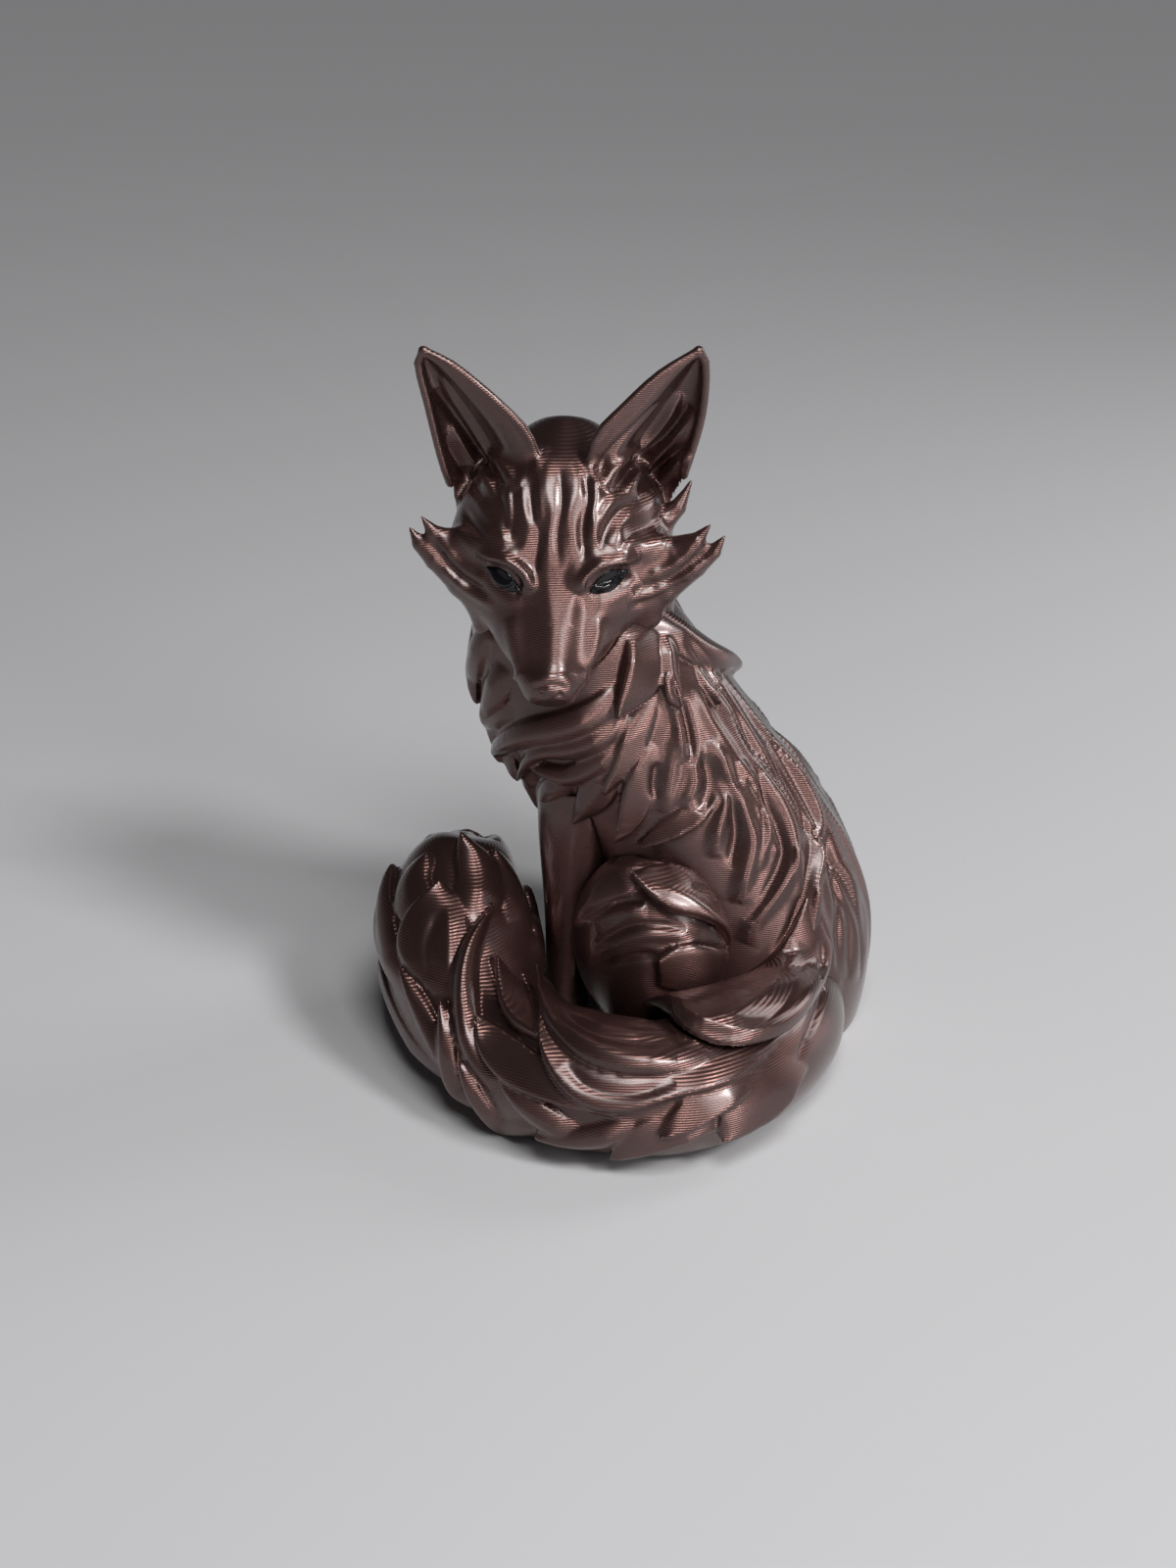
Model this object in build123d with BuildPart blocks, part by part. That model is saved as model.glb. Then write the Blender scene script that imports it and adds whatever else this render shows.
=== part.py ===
"""Sitting fox figurine, turned to look over its shoulder, with its brush curled round its feet.

Millimetres, +Z up. The floor is Z = 0, the fox sits facing -X and its face looks towards -Y.
Every mass is a loft through ellipses along a spine, and every lock of fur is a leaf that
follows the surface of the mass that carries it and is cut to seat on it.
"""

import os
from math import cos, radians, sin, sqrt
from typing import NamedTuple

from build123d import *

# Torso: spine points in the fox's own median plane, from below the floor up into the skull
body_y = 8.7
seat_x, seat_z, seat_half_depth, seat_half_width = 12.9, -3.0, 11.6, 11.6
rump_x, rump_z, rump_half_depth, rump_half_width = 13.3, 8.0, 13.6, 13.2
loin_x, loin_z, loin_half_depth, loin_half_width = 10.5, 18.0, 13.2, 12.4
waist_x, waist_z, waist_half_depth, waist_half_width = 4.8, 28.0, 11.8, 10.6
chest_x, chest_z, chest_half_depth, chest_half_width = -2.5, 38.0, 11.8, 9.8
neck_x, neck_z, neck_half_depth, neck_half_width = -6.5, 47.0, 10.2, 9.2
nape_x, nape_z, nape_half_depth, nape_half_width = -7.5, 56.0, 8.0, 7.6

# Brush: a tube of fur that leaves the rump, rounds the feet and lifts its tip beside the forelegs
tail_root_radius, tail_bend_radius, tail_brush_radius, tail_tip_radius = 5.8, 6.8, 8.2, 1.0
tail_root_x, tail_root_y = 15.3, 7.2
tail_bend_x, tail_bend_y = 15.7, -6.8
tail_front_x, tail_front_y = -0.1, -17.9
tail_turn_x, tail_turn_y = -15.9, -5.3
tail_lobe_x, tail_lobe_y = -18.7, 4.5
tail_tip_x, tail_tip_y, tail_tip_lift = -17.2, 12.6, 18.2
tail_sink = 0.6

# Head: bowed below the level and turned a little towards its right
head_x, head_y, head_z = -7.1, 8.9, 67.0
head_bow, head_turn = 54.5, 4.6
head_length = 26.8
skull_half_width, cheek_half_width, muzzle_half_width, nose_half_width = 7.4, 11.5, 5.7, 2.7
skull_height, muzzle_height, nose_height = 18.4, 8.6, 5.8
nose_pad_length = 1.2
eye_length, eye_height, eye_bulge, eye_slant = 4.2, 2.1, 0.4, 36.0
left_cheek_reach, right_cheek_reach = 1.0, 0.88

# Ears
ear_spread, ear_length, ear_width, ear_depth, ear_wall = 6.6, 14.1, 10.6, 3.4, 1.6
ear_splay, ear_toe_out = 25.0, 22.0

# Limbs
foreleg_x, foreleg_spread, foreleg_top_z = -6.7, 4.0, 30.0
shoulder_radius, wrist_radius = 4.4, 2.4
forepaw_length, forepaw_half_width, forepaw_height = 6.5, 3.0, 3.6
haunch_x, haunch_z = 2.9, 13.0
haunch_half_length, haunch_half_height, haunch_bulge = 9.2, 11.6, 3.4
hind_paw_length, hind_paw_half_width, hind_paw_height = 12.0, 2.8, 4.0

# Fur
lock_sink = 0.5


class Ring(NamedTuple):
    """One elliptical section of a mass: its plane and its two half widths."""

    plane: Plane
    half_x: float
    half_y: float


class Lock(NamedTuple):
    """A leaf of fur: points of its middle line, its width, its thickness and how far its tip lifts."""

    path: tuple
    width: float
    thickness: float
    lift: float


def smooth(values, t):
    """Value at t along a row of values, on a curve through all of them."""
    last = len(values) - 1
    i = min(max(int(t), 0), last - 1)
    f = t - i
    b, c = values[i], values[i + 1]
    a = values[i - 1] if i > 0 else 2 * b - c
    d = values[i + 2] if i + 2 <= last else 2 * c - b
    return b + 0.5 * f * ((c - a) + f * ((2 * a - 5 * b + 4 * c - d) + f * (3 * b - a - 3 * c + d)))


def steps(first, last, count):
    return [first + (last - first) * i / (count - 1) for i in range(count)]


# Torso surface: t counts the spine points
TORSO_X = (seat_x, rump_x, loin_x, waist_x, chest_x, neck_x, nape_x)
TORSO_Z = (seat_z, rump_z, loin_z, waist_z, chest_z, neck_z, nape_z)
TORSO_DEPTH = (
    seat_half_depth, rump_half_depth, loin_half_depth, waist_half_depth,
    chest_half_depth, neck_half_depth, nape_half_depth,
)
TORSO_WIDTH = (
    seat_half_width, rump_half_width, loin_half_width, waist_half_width,
    chest_half_width, neck_half_width, nape_half_width,
)


def torso_ring(t):
    dx = smooth(TORSO_X, t + 0.05) - smooth(TORSO_X, t - 0.05)
    dz = smooth(TORSO_Z, t + 0.05) - smooth(TORSO_Z, t - 0.05)
    centre = (smooth(TORSO_X, t), body_y, smooth(TORSO_Z, t))
    plane = Plane(origin=centre, x_dir=(0, -1, 0), z_dir=(dx, 0, dz))
    return Ring(plane, smooth(TORSO_WIDTH, t), smooth(TORSO_DEPTH, t))


# Brush surface: t counts the stations from root to tip
TAIL_X = (
    tail_root_x, tail_bend_x + 1.3, tail_bend_x, 0.75 * tail_bend_x, 0.4 * tail_bend_x,
    tail_front_x, 0.42 * tail_turn_x, 0.76 * tail_turn_x, tail_turn_x, 0.3 * tail_turn_x + 0.7 * tail_lobe_x,
    tail_lobe_x, 0.4 * tail_lobe_x + 0.6 * tail_tip_x, tail_tip_x,
)
TAIL_Y = (
    tail_root_y, 0.5 * (tail_root_y + tail_bend_y), tail_bend_y, 0.48 * tail_bend_y + 0.52 * tail_front_y,
    0.1 * tail_bend_y + 0.9 * tail_front_y, tail_front_y, 0.18 * tail_turn_y + 0.82 * tail_front_y,
    0.5 * tail_turn_y + 0.5 * tail_front_y, tail_turn_y, 0.4 * tail_turn_y + 0.6 * tail_lobe_y,
    tail_lobe_y + 2.0, 0.25 * tail_lobe_y + 0.75 * tail_tip_y, tail_tip_y,
)
TAIL_RADIUS = (
    tail_root_radius, 1.05 * tail_root_radius, 0.94 * tail_bend_radius, tail_bend_radius,
    tail_bend_radius, tail_bend_radius, 0.98 * tail_bend_radius, 0.97 * tail_bend_radius,
    0.9 * tail_brush_radius, tail_brush_radius, 0.94 * tail_brush_radius, 0.66 * tail_brush_radius,
    tail_tip_radius,
)
TAIL_LIFT = (0, 0, 0, 0, 0, 0, 0, 0, 0.04, 0.14, 0.32, 0.7, 1.0)
TAIL_STATIONS = len(TAIL_X) - 1


def tail_centre(t):
    rise = smooth(TAIL_RADIUS, t) - tail_sink + tail_tip_lift * smooth(TAIL_LIFT, t)
    return Vector(smooth(TAIL_X, t), smooth(TAIL_Y, t), rise)


def tail_ring(t):
    centre = tail_centre(t)
    along = tail_centre(t + 0.05) - tail_centre(t - 0.05)
    outward = Vector(along.Y, -along.X, 0) * -1
    radius = smooth(TAIL_RADIUS, t)
    return Ring(Plane(origin=centre, x_dir=outward, z_dir=along), radius, radius)


# Head surface: t counts the stations from crown to nose
HEAD_REACH = (-0.05, -0.02, 0.07, 0.2, 0.35, 0.45, 0.54, 0.62, 0.7, 0.8, 0.9, 1.0)
HEAD_WIDTH = (
    0.35 * skull_half_width, 0.65 * skull_half_width, skull_half_width, 0.9 * cheek_half_width,
    0.985 * cheek_half_width, cheek_half_width, 0.91 * cheek_half_width, 1.5 * muzzle_half_width,
    1.25 * muzzle_half_width, muzzle_half_width, 0.77 * muzzle_half_width, nose_half_width,
)
HEAD_HEIGHT = (
    0.13 * skull_height, 0.24 * skull_height, 0.37 * skull_height, 0.49 * skull_height,
    0.5 * skull_height, 0.48 * skull_height, 0.4 * skull_height, 0.69 * muzzle_height,
    0.59 * muzzle_height, 0.5 * muzzle_height, 0.6 * nose_height, 0.5 * nose_height,
)
HEAD_BROW = (-5.2, -2.8, 0.2, 2.0, 2.2, 1.8, 1.0, 0.6, 0.2, 0.0, 0.0, 0.0)
HEAD_STATIONS = len(HEAD_REACH) - 1

bow = radians(head_bow)
turn = radians(head_turn)
HEAD_AXIS = Vector(-sin(turn) * cos(bow), -cos(turn) * cos(bow), -sin(bow))
HEAD_SIDE = Vector(cos(turn), -sin(turn), 0)
HEAD_CROWN = HEAD_AXIS.cross(HEAD_SIDE)


def in_head(side, forward, crown):
    """A point given from the top of the head, along the head's own three directions."""
    return Vector(head_x, head_y, head_z) + HEAD_SIDE * side + HEAD_AXIS * forward + HEAD_CROWN * crown


def head_ring(t):
    height = smooth(HEAD_HEIGHT, t)
    centre = in_head(0, head_length * smooth(HEAD_REACH, t), smooth(HEAD_BROW, t) - height)
    plane = Plane(origin=centre, x_dir=HEAD_SIDE, z_dir=HEAD_AXIS)
    return Ring(plane, smooth(HEAD_WIDTH, t), height)


# Haunch surface: t runs from the middle of the body, 0, out to the last section, 5
HAUNCH_STATIONS = 5


def haunch_ring(t, side):
    """A haunch on the left side for 1 and on the right side for -1."""
    reach = rump_half_width + haunch_bulge
    out = reach * t / (HAUNCH_STATIONS + 0.08)
    share = sqrt(max(1 - (out / reach) ** 4, 0.02))
    centre = (haunch_x, body_y - side * out, haunch_z)
    plane = Plane(origin=centre, x_dir=(side, 0, 0), z_dir=(0, -side, 0))
    return Ring(plane, haunch_half_length * share, haunch_half_height * share)


def loft_rings(rings):
    """Loft through the sections, into the part being built."""
    sections = []
    for ring in rings:
        with BuildSketch(ring.plane) as section:
            Ellipse(ring.half_x, ring.half_y)
        sections.append(section.sketch)
    loft(sections)


def keep_above_floor():
    split(bisect_by=Plane.XY, keep=Keep.TOP)


def on_ring(ring, angle):
    """Point and outward normal at an angle from the top or back of a section, left side first."""
    across = sin(radians(angle))
    up = cos(radians(angle))
    x_dir, y_dir = ring.plane.x_dir, ring.plane.y_dir
    point = ring.plane.origin + x_dir * (ring.half_x * across) + y_dir * (ring.half_y * up)
    normal = x_dir * (across / ring.half_x) + y_dir * (up / ring.half_y)
    return point, normal.normalized()


# Share of a lock's length, width and thickness at each of its sections, root to tip
LOCK_SECTIONS = ((0.0, 0.5, 0.5), (0.4, 1.0, 1.0), (0.78, 0.72, 0.85), (1.0, 0.12, 0.3))


def leaf(spot, width, thickness, lift):
    """One lock of fur, lofted through the spots of its middle line."""
    sections = []
    for place, wide, thick in LOCK_SECTIONS:
        point, normal = spot(place)
        along = spot(place + 0.02)[0] - spot(place - 0.02)[0]
        rise = lift * place * place - lock_sink * (1 - place)
        plane = Plane(origin=point + normal * rise, x_dir=normal.cross(along), z_dir=along)
        half = 0.5 * width * wide
        high = thickness * thick
        with BuildSketch(plane) as section:
            with BuildLine():
                ThreePointArc((-half, 0), (0, high), (half, 0))
                ThreePointArc((half, 0), (0, -0.6 * high), (-half, 0))
            make_face()
        sections.append(section.sketch)
    return loft(sections, mode=Mode.PRIVATE)


def seat_on(pieces):
    """Cut the part being built by the pieces it touches, so that it seats on them."""
    for piece in pieces:
        add(piece.part, mode=Mode.SUBTRACT, clean=False)


def along_path(path, share):
    """The numbers of a path at a share of its length."""
    last = len(path) - 1
    return [smooth(row, share * last) for row in zip(*path)]


def fur(label, locks, ring_at, seats, side=1):
    """Locks given by t and angle on one carrier, cut to seat on the pieces they touch."""
    leaves = []
    for lock in locks:

        def spot(share):
            t, angle = along_path(lock.path, share)
            return on_ring(ring_at(t), side * angle)

        leaves.append(leaf(spot, lock.width, lock.thickness, lock.lift))
    with BuildPart() as group:
        add(leaves, clean=False)
        seat_on(seats)
    group.part.label = label
    return group


# Head, with its eyes let in and a nose pad on the end of the muzzle
EYE_PLACE = (6.42, 32.0)
NOSE_PLACE = 10.4


def make_eye(label, side):
    point, normal = on_ring(head_ring(EYE_PLACE[0]), side * EYE_PLACE[1])
    slant = radians(eye_slant)
    outer = HEAD_SIDE * (side * cos(slant)) - HEAD_AXIS * sin(slant)
    plane = Plane(origin=point, x_dir=outer, z_dir=normal)
    sections = []
    for offset, share in ((-1.2, 1.0), (0.2, 1.0), (0.2 + 0.7 * eye_bulge, 0.75), (0.2 + eye_bulge, 0.4)):
        half = 0.5 * eye_length * share
        with BuildSketch(plane.offset(offset)) as section:
            with BuildLine():
                ThreePointArc((-half, 0), (0, 0.5 * eye_height * share), (half, 0))
                ThreePointArc((half, 0), (0, -0.5 * eye_height * share), (-half, 0))
            make_face()
        sections.append(section.sketch)
    with BuildPart() as eye:
        loft(sections, ruled=True)
    eye.part.label = label
    return eye


left_eye = make_eye("left_eye", 1)
right_eye = make_eye("right_eye", -1)

with BuildPart() as head:
    loft_rings([head_ring(t) for t in steps(0, NOSE_PLACE, 9)])
    seat_on((left_eye, right_eye))
head.part.label = "head"

with BuildPart() as nose:
    rings = [head_ring(t) for t in (NOSE_PLACE, HEAD_STATIONS)]
    tip = rings[-1]
    rings.append(Ring(tip.plane.offset(0.5 * nose_pad_length), 0.82 * tip.half_x, 0.8 * tip.half_y))
    rings.append(Ring(tip.plane.offset(0.7 * nose_pad_length), 0.5 * tip.half_x, 0.45 * tip.half_y))
    loft_rings(rings)
nose.part.label = "nose"

with BuildPart() as torso:
    loft_rings([torso_ring(t) for t in steps(0, 6, 7)])
    keep_above_floor()
    seat_on((head, nose))
torso.part.label = "torso"

# Brush
with BuildPart() as tail:
    loft_rings([tail_ring(t) for t in steps(0, TAIL_STATIONS, 12)])
    keep_above_floor()
    seat_on((torso,))
tail.part.label = "tail"


# Ears: cupped shells, each with three strands of fur in the cup
# Stations from root to tip: share of the length, then inner edge, outer edge, cup and wall as shares of theirs
EAR_ALONG = (-0.14, 0.16, 0.43, 0.77, 0.94, 1.0)
EAR_INNER = (-0.58, -0.49, -0.36, -0.15, 0.02, 0.085)
EAR_OUTER = (0.52, 0.51, 0.44, 0.29, 0.21, 0.12)
EAR_CUP = (1.06, 0.94, 0.74, 0.43, 0.2, 0.09)
EAR_WALL = (1.0, 0.95, 0.85, 0.65, 0.45, 0.35)
STRAND_STATIONS = ((0.2, 0.7), (1.1, 0.8), (1.9, 0.6), (2.5, 0.15))
STRAND_PLACES = (0.3, 0.48, 0.66)


def ear_plane(side, share):
    splay = radians(ear_splay)
    toe = radians(ear_toe_out)
    axis = Vector(side * sin(splay), -0.07, cos(splay)).normalized()
    back = Vector(-side * sin(toe), cos(toe), 0)
    base = in_head(side * ear_spread, 4.6, -0.8)
    return Plane(origin=base + axis * (share * ear_length), x_dir=back.cross(axis), z_dir=axis)


def make_ear(label, side):
    sections = []
    for share, inner, outer, cup, wall in zip(EAR_ALONG, EAR_INNER, EAR_OUTER, EAR_CUP, EAR_WALL):
        near = side * ear_width * inner
        far = side * ear_width * outer
        middle = 0.5 * (near + far)
        front = ear_depth * cup
        rear = front + ear_wall * wall
        with BuildSketch(ear_plane(side, share)) as section:
            with BuildLine():
                ThreePointArc((near, 0), (middle, rear), (far, 0))
                ThreePointArc((far, 0), (middle, front), (near, 0))
            make_face()
        sections.append(section.sketch)
    with BuildPart() as ear:
        loft(sections, clean=False)
        seat_on((head,))
    ear.part.label = label
    return ear


def make_ear_tuft(label, side, ear):
    with BuildPart() as tuft:
        for place in STRAND_PLACES:
            rings = []
            for station, radius in STRAND_STATIONS:
                plane = ear_plane(side, smooth(EAR_ALONG, station))
                inner = smooth(EAR_INNER, station)
                across = side * ear_width * (inner + place * (smooth(EAR_OUTER, station) - inner))
                deep = ear_depth * smooth(EAR_CUP, station) * 4 * place * (1 - place)
                spot = plane.origin + plane.x_dir * across + plane.y_dir * deep
                rings.append(Ring(Plane(origin=spot, x_dir=plane.x_dir, z_dir=plane.z_dir), radius, radius))
            loft_rings(rings)
        seat_on((ear, head))
    tuft.part.label = label
    return tuft


left_ear = make_ear("left_ear", 1)
right_ear = make_ear("right_ear", -1)
left_ear_tuft = make_ear_tuft("left_ear_tuft", 1, left_ear)
right_ear_tuft = make_ear_tuft("right_ear_tuft", -1, right_ear)

# Cheek tufts: points in the head's own directions, side, forward and crown, each with the radius there
CHEEK_WINGS = (
    ((6.0, 15.4, -6.0, 3.8), (10.2, 14.3, -4.6, 2.6), (13.6, 13.0, -3.0, 1.5), (16.7, 10.7, -1.0, 0.2)),
    ((8.0, 12.6, -4.0, 2.6), (11.6, 11.9, -2.6, 1.6), (13.9, 11.0, -1.3, 0.8), (15.3, 9.8, -0.2, 0.2)),
)


def make_cheek_tuft(label, side, reach):
    with BuildPart() as wings:
        for wing in CHEEK_WINGS:
            spots = [in_head(side * reach * across, forward, crown) for across, forward, crown, _ in wing]
            rings = []
            for i, spot in enumerate(spots):
                along = spots[min(i + 1, len(spots) - 1)] - spots[max(i - 1, 0)]
                radius = wing[i][-1]
                rings.append(Ring(Plane(origin=spot, x_dir=HEAD_CROWN.cross(along), z_dir=along), radius, radius))
            loft_rings(rings)
        seat_on((head, torso))
    # The cut can leave a crumb, so the largest solid is the tuft
    with BuildPart() as tuft:
        add(wings.part.solids().sort_by(SortBy.VOLUME)[-1])
    tuft.part.label = label
    return tuft


left_cheek_tuft = make_cheek_tuft("left_cheek_tuft", 1, left_cheek_reach)
right_cheek_tuft = make_cheek_tuft("right_cheek_tuft", -1, right_cheek_reach)


# Limbs, left for side 1 and right for side -1
def make_foreleg(label, side):
    y = body_y - side * foreleg_spread
    rings = []
    for share, x, radius in (
        (0.0, foreleg_x, wrist_radius), (0.2, foreleg_x, wrist_radius),
        (0.5, foreleg_x + 0.4, 1.2 * wrist_radius), (0.75, foreleg_x + 0.8, 0.85 * shoulder_radius),
        (1.0, foreleg_x + 1.6, shoulder_radius),
    ):
        rings.append(Ring(Plane((x, y, share * foreleg_top_z)), radius, radius))
    with BuildPart() as leg:
        loft_rings(rings)
        seat_on((torso,))
    leg.part.label = label
    return leg


def make_paw(label, heel, length, half_width, height, seats):
    """A paw pointing forward from its heel, with two grooves between the toes."""
    rings = []
    for share, wide, high in ((0.0, 0.75, 0.8), (0.3, 0.95, 1.0), (0.7, 1.0, 0.85), (0.92, 0.8, 0.55), (1.0, 0.5, 0.3)):
        plane = Plane(origin=(heel[0] - share * length, heel[1], 0), x_dir=(0, -1, 0), z_dir=(-1, 0, 0))
        rings.append(Ring(plane, half_width * wide, height * high))
    with BuildPart() as paw:
        loft_rings(rings)
        keep_above_floor()
        with Locations(*[(heel[0] - 0.95 * length, heel[1] + toe * 0.36 * half_width, height) for toe in (-1, 1)]):
            Box(0.6 * length, 0.28, 1.1 * height, mode=Mode.SUBTRACT)
        seat_on(seats)
    paw.part.label = label
    return paw


def make_haunch(label, side):
    with BuildPart() as haunch:
        loft_rings([haunch_ring(t, side) for t in (2.3, 3.2, 4.0, 4.6, 4.92, 5.05)])
        keep_above_floor()
        seat_on((torso, tail))
    haunch.part.label = label
    return haunch


left_foreleg = make_foreleg("left_foreleg", 1)
right_foreleg = make_foreleg("right_foreleg", -1)
left_haunch = make_haunch("left_haunch", 1)
right_haunch = make_haunch("right_haunch", -1)

left_forepaw = make_paw(
    "left_forepaw", (foreleg_x + 1.5, body_y - foreleg_spread), forepaw_length,
    forepaw_half_width, forepaw_height, (left_foreleg, tail),
)
right_forepaw = make_paw(
    "right_forepaw", (foreleg_x + 1.5, body_y + foreleg_spread), forepaw_length,
    forepaw_half_width, forepaw_height, (right_foreleg, tail),
)
left_hind_paw = make_paw(
    "left_hind_paw", (haunch_x + 2.0, body_y - rump_half_width), hind_paw_length,
    hind_paw_half_width, hind_paw_height, (left_haunch, torso, tail),
)
right_hind_paw = make_paw(
    "right_hind_paw", (haunch_x + 2.0, body_y + rump_half_width), hind_paw_length,
    hind_paw_half_width, hind_paw_height, (right_haunch, torso, tail),
)

# Fur on the neck, chest, flanks and back, on the torso's own t and angle
MANE_LOCKS = (
    Lock(((4.95, 51), (4.47, 60), (4.0, 75)), 4.4, 1.5, 0.5),
    Lock(((4.75, 33), (4.15, 46), (3.72, 55)), 3.6, 1.3, 0.4),
    Lock(((4.5, 18), (3.95, 26), (3.5, 35)), 4.0, 1.3, 0.6),
)
CHEST_LOCKS = (
    Lock(((4.5, 95), (4.4, 124), (4.12, 158)), 4.6, 1.5, 1.2),
    Lock(((4.12, 88), (4.15, 118), (3.98, 146)), 3.6, 1.3, 1.0),
    Lock(((4.1, 77), (3.75, 90), (3.5, 107)), 3.6, 1.3, 0.8),
    Lock(((3.8, 102), (3.6, 118), (3.36, 142)), 4.2, 1.4, 1.4),
    Lock(((4.5, 180), (3.95, 180), (3.35, 180)), 7.0, 1.8, 1.6),
    Lock(((4.5, -95), (4.4, -124), (4.12, -158)), 4.6, 1.5, 1.2),
    Lock(((3.9, -98), (3.65, -118), (3.36, -142)), 4.2, 1.4, 1.4),
)
FLANK_LOCKS = (
    Lock(((3.75, 73), (3.43, 94), (3.12, 122)), 4.4, 1.4, 0.8),
    Lock(((3.45, 50), (3.13, 53), (2.92, 64)), 3.2, 1.2, 0.5),
    Lock(((3.15, 47), (2.92, 53), (2.75, 72), (2.55, 84)), 3.0, 1.2, 0.5),
    Lock(((3.05, 33), (2.72, 33), (2.4, 39), (2.12, 62)), 3.4, 1.2, 0.5),
)
BACK_LOCKS = (
    Lock(((4.5, 8), (3.95, 1), (3.42, -6)), 4.2, 1.4, 0.9),
    Lock(((3.1, 12), (2.6, 14), (2.1, 24)), 3.0, 1.4, 0.4),
    Lock(((3.1, -14), (2.6, -17), (2.1, -28)), 3.2, 1.4, 0.4),
    Lock(((2.4, 0), (1.8, -4), (1.2, -4)), 3.6, 1.4, 0.5),
)

left_mane_locks = fur("left_mane_locks", MANE_LOCKS, torso_ring, (torso, head, left_cheek_tuft))
right_mane_locks = fur("right_mane_locks", MANE_LOCKS, torso_ring, (torso, head, right_cheek_tuft), side=-1)
left_flank_locks = fur("left_flank_locks", FLANK_LOCKS, torso_ring, (torso, left_haunch, left_foreleg))
right_flank_locks = fur(
    "right_flank_locks", FLANK_LOCKS, torso_ring, (torso, right_haunch, right_foreleg), side=-1
)
chest_locks = fur(
    "chest_locks", CHEST_LOCKS, torso_ring,
    (torso, head, nose, left_foreleg, right_foreleg, left_flank_locks, right_flank_locks),
)
back_locks = fur("back_locks", BACK_LOCKS, torso_ring, (torso, head, left_mane_locks, right_mane_locks))

# Fur on the brush
BRUSH_ROOT_LOCKS = (
    Lock(((1.2, 24), (2.2, 16), (3.4, 12), (4.7, -22)), 8.0, 2.0, 0.9),
    Lock(((2.4, -48), (3.8, -52), (5.2, -58)), 4.4, 1.3, 0.6),
)
BRUSH_UPPER_LOCKS = (
    Lock(((3.6, 39), (4.8, 40), (5.6, 33), (6.4, -2), (7.6, -28)), 5.2, 1.7, 0.8),
    Lock(((6.1, 22), (6.6, 24), (7.2, 10), (8.15, -8)), 4.0, 1.4, 0.8),
    Lock(((6.5, 82), (6.9, 62), (7.5, 33), (8.3, 10), (9.1, -18)), 3.2, 1.3, 0.6),
)
BRUSH_OUTER_LOCKS = (
    Lock(((3.3, 66), (4.6, 61), (5.4, 70), (5.9, 45), (6.4, 5)), 4.0, 1.4, 0.8),
    Lock(((5.2, 74), (5.8, 73), (6.4, 66), (6.9, 46), (7.3, 26)), 3.8, 1.4, 0.8),
    Lock(((7.6, 48), (8.2, 38), (8.9, 27), (9.7, 8)), 6.0, 1.3, 0.5),
)
BRUSH_LOWER_LOCKS = (
    Lock(((3.0, 98), (3.6, 97), (4.15, 93)), 3.4, 1.2, 0.7),
    Lock(((3.7, 76), (4.3, 81), (4.8, 87)), 3.0, 1.2, 0.7),
    Lock(((4.0, 96), (4.6, 101), (5.3, 112)), 3.4, 1.2, 0.7),
    Lock(((6.6, 108), (7.0, 98), (7.3, 78), (7.6, 56)), 3.2, 1.2, 0.6),
    Lock(((7.0, 88), (7.6, 76), (8.2, 66), (8.9, 60)), 3.4, 1.2, 0.6),
)
BRUSH_INNER_LOCKS = (
    Lock(((5.6, -46), (6.8, -58), (8.2, -66)), 4.4, 1.3, 0.6),
    Lock(((6.2, -92), (7.4, -98), (8.8, -92)), 4.2, 1.2, 0.6),
    Lock(((8.0, 112), (9.0, 100), (10.0, 88)), 4.4, 1.2, 0.6),
    Lock(((8.6, 150), (9.4, 140), (10.3, 122)), 4.0, 1.2, 0.6),
    Lock(((8.8, -100), (9.6, -110), (10.4, -120)), 4.0, 1.2, 0.6),
)
brush_seats = (tail, torso, left_haunch, left_hind_paw, left_forepaw)
tail_root_locks = fur("tail_root_locks", BRUSH_ROOT_LOCKS, tail_ring, brush_seats)
tail_upper_locks = fur("tail_upper_locks", BRUSH_UPPER_LOCKS, tail_ring, brush_seats + (tail_root_locks,))
tail_outer_locks = fur("tail_outer_locks", BRUSH_OUTER_LOCKS, tail_ring, brush_seats + (tail_upper_locks,))
tail_lower_locks = fur("tail_lower_locks", BRUSH_LOWER_LOCKS, tail_ring, brush_seats + (tail_outer_locks,))
tail_inner_locks = fur("tail_inner_locks", BRUSH_INNER_LOCKS, tail_ring, brush_seats + (tail_lower_locks,))

# Fur on the haunches
HAUNCH_LOCKS = (
    Lock(((3.3, 62), (3.9, 24), (3.68, -20)), 5.4, 1.9, 0.6),
    Lock(((4.4, 25), (4.6, -30), (4.3, -76)), 4.4, 1.7, 0.5),
    Lock(((3.9, 84), (4.5, 96), (4.3, 142)), 4.8, 1.8, 0.5),
)
left_haunch_locks = fur(
    "left_haunch_locks", HAUNCH_LOCKS, lambda t: haunch_ring(t, 1),
    (left_haunch, torso, tail, left_hind_paw, tail_root_locks, left_flank_locks),
)
right_haunch_locks = fur(
    "right_haunch_locks", HAUNCH_LOCKS, lambda t: haunch_ring(t, -1),
    (right_haunch, torso, tail, right_hind_paw, right_flank_locks), side=-1,
)

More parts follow.
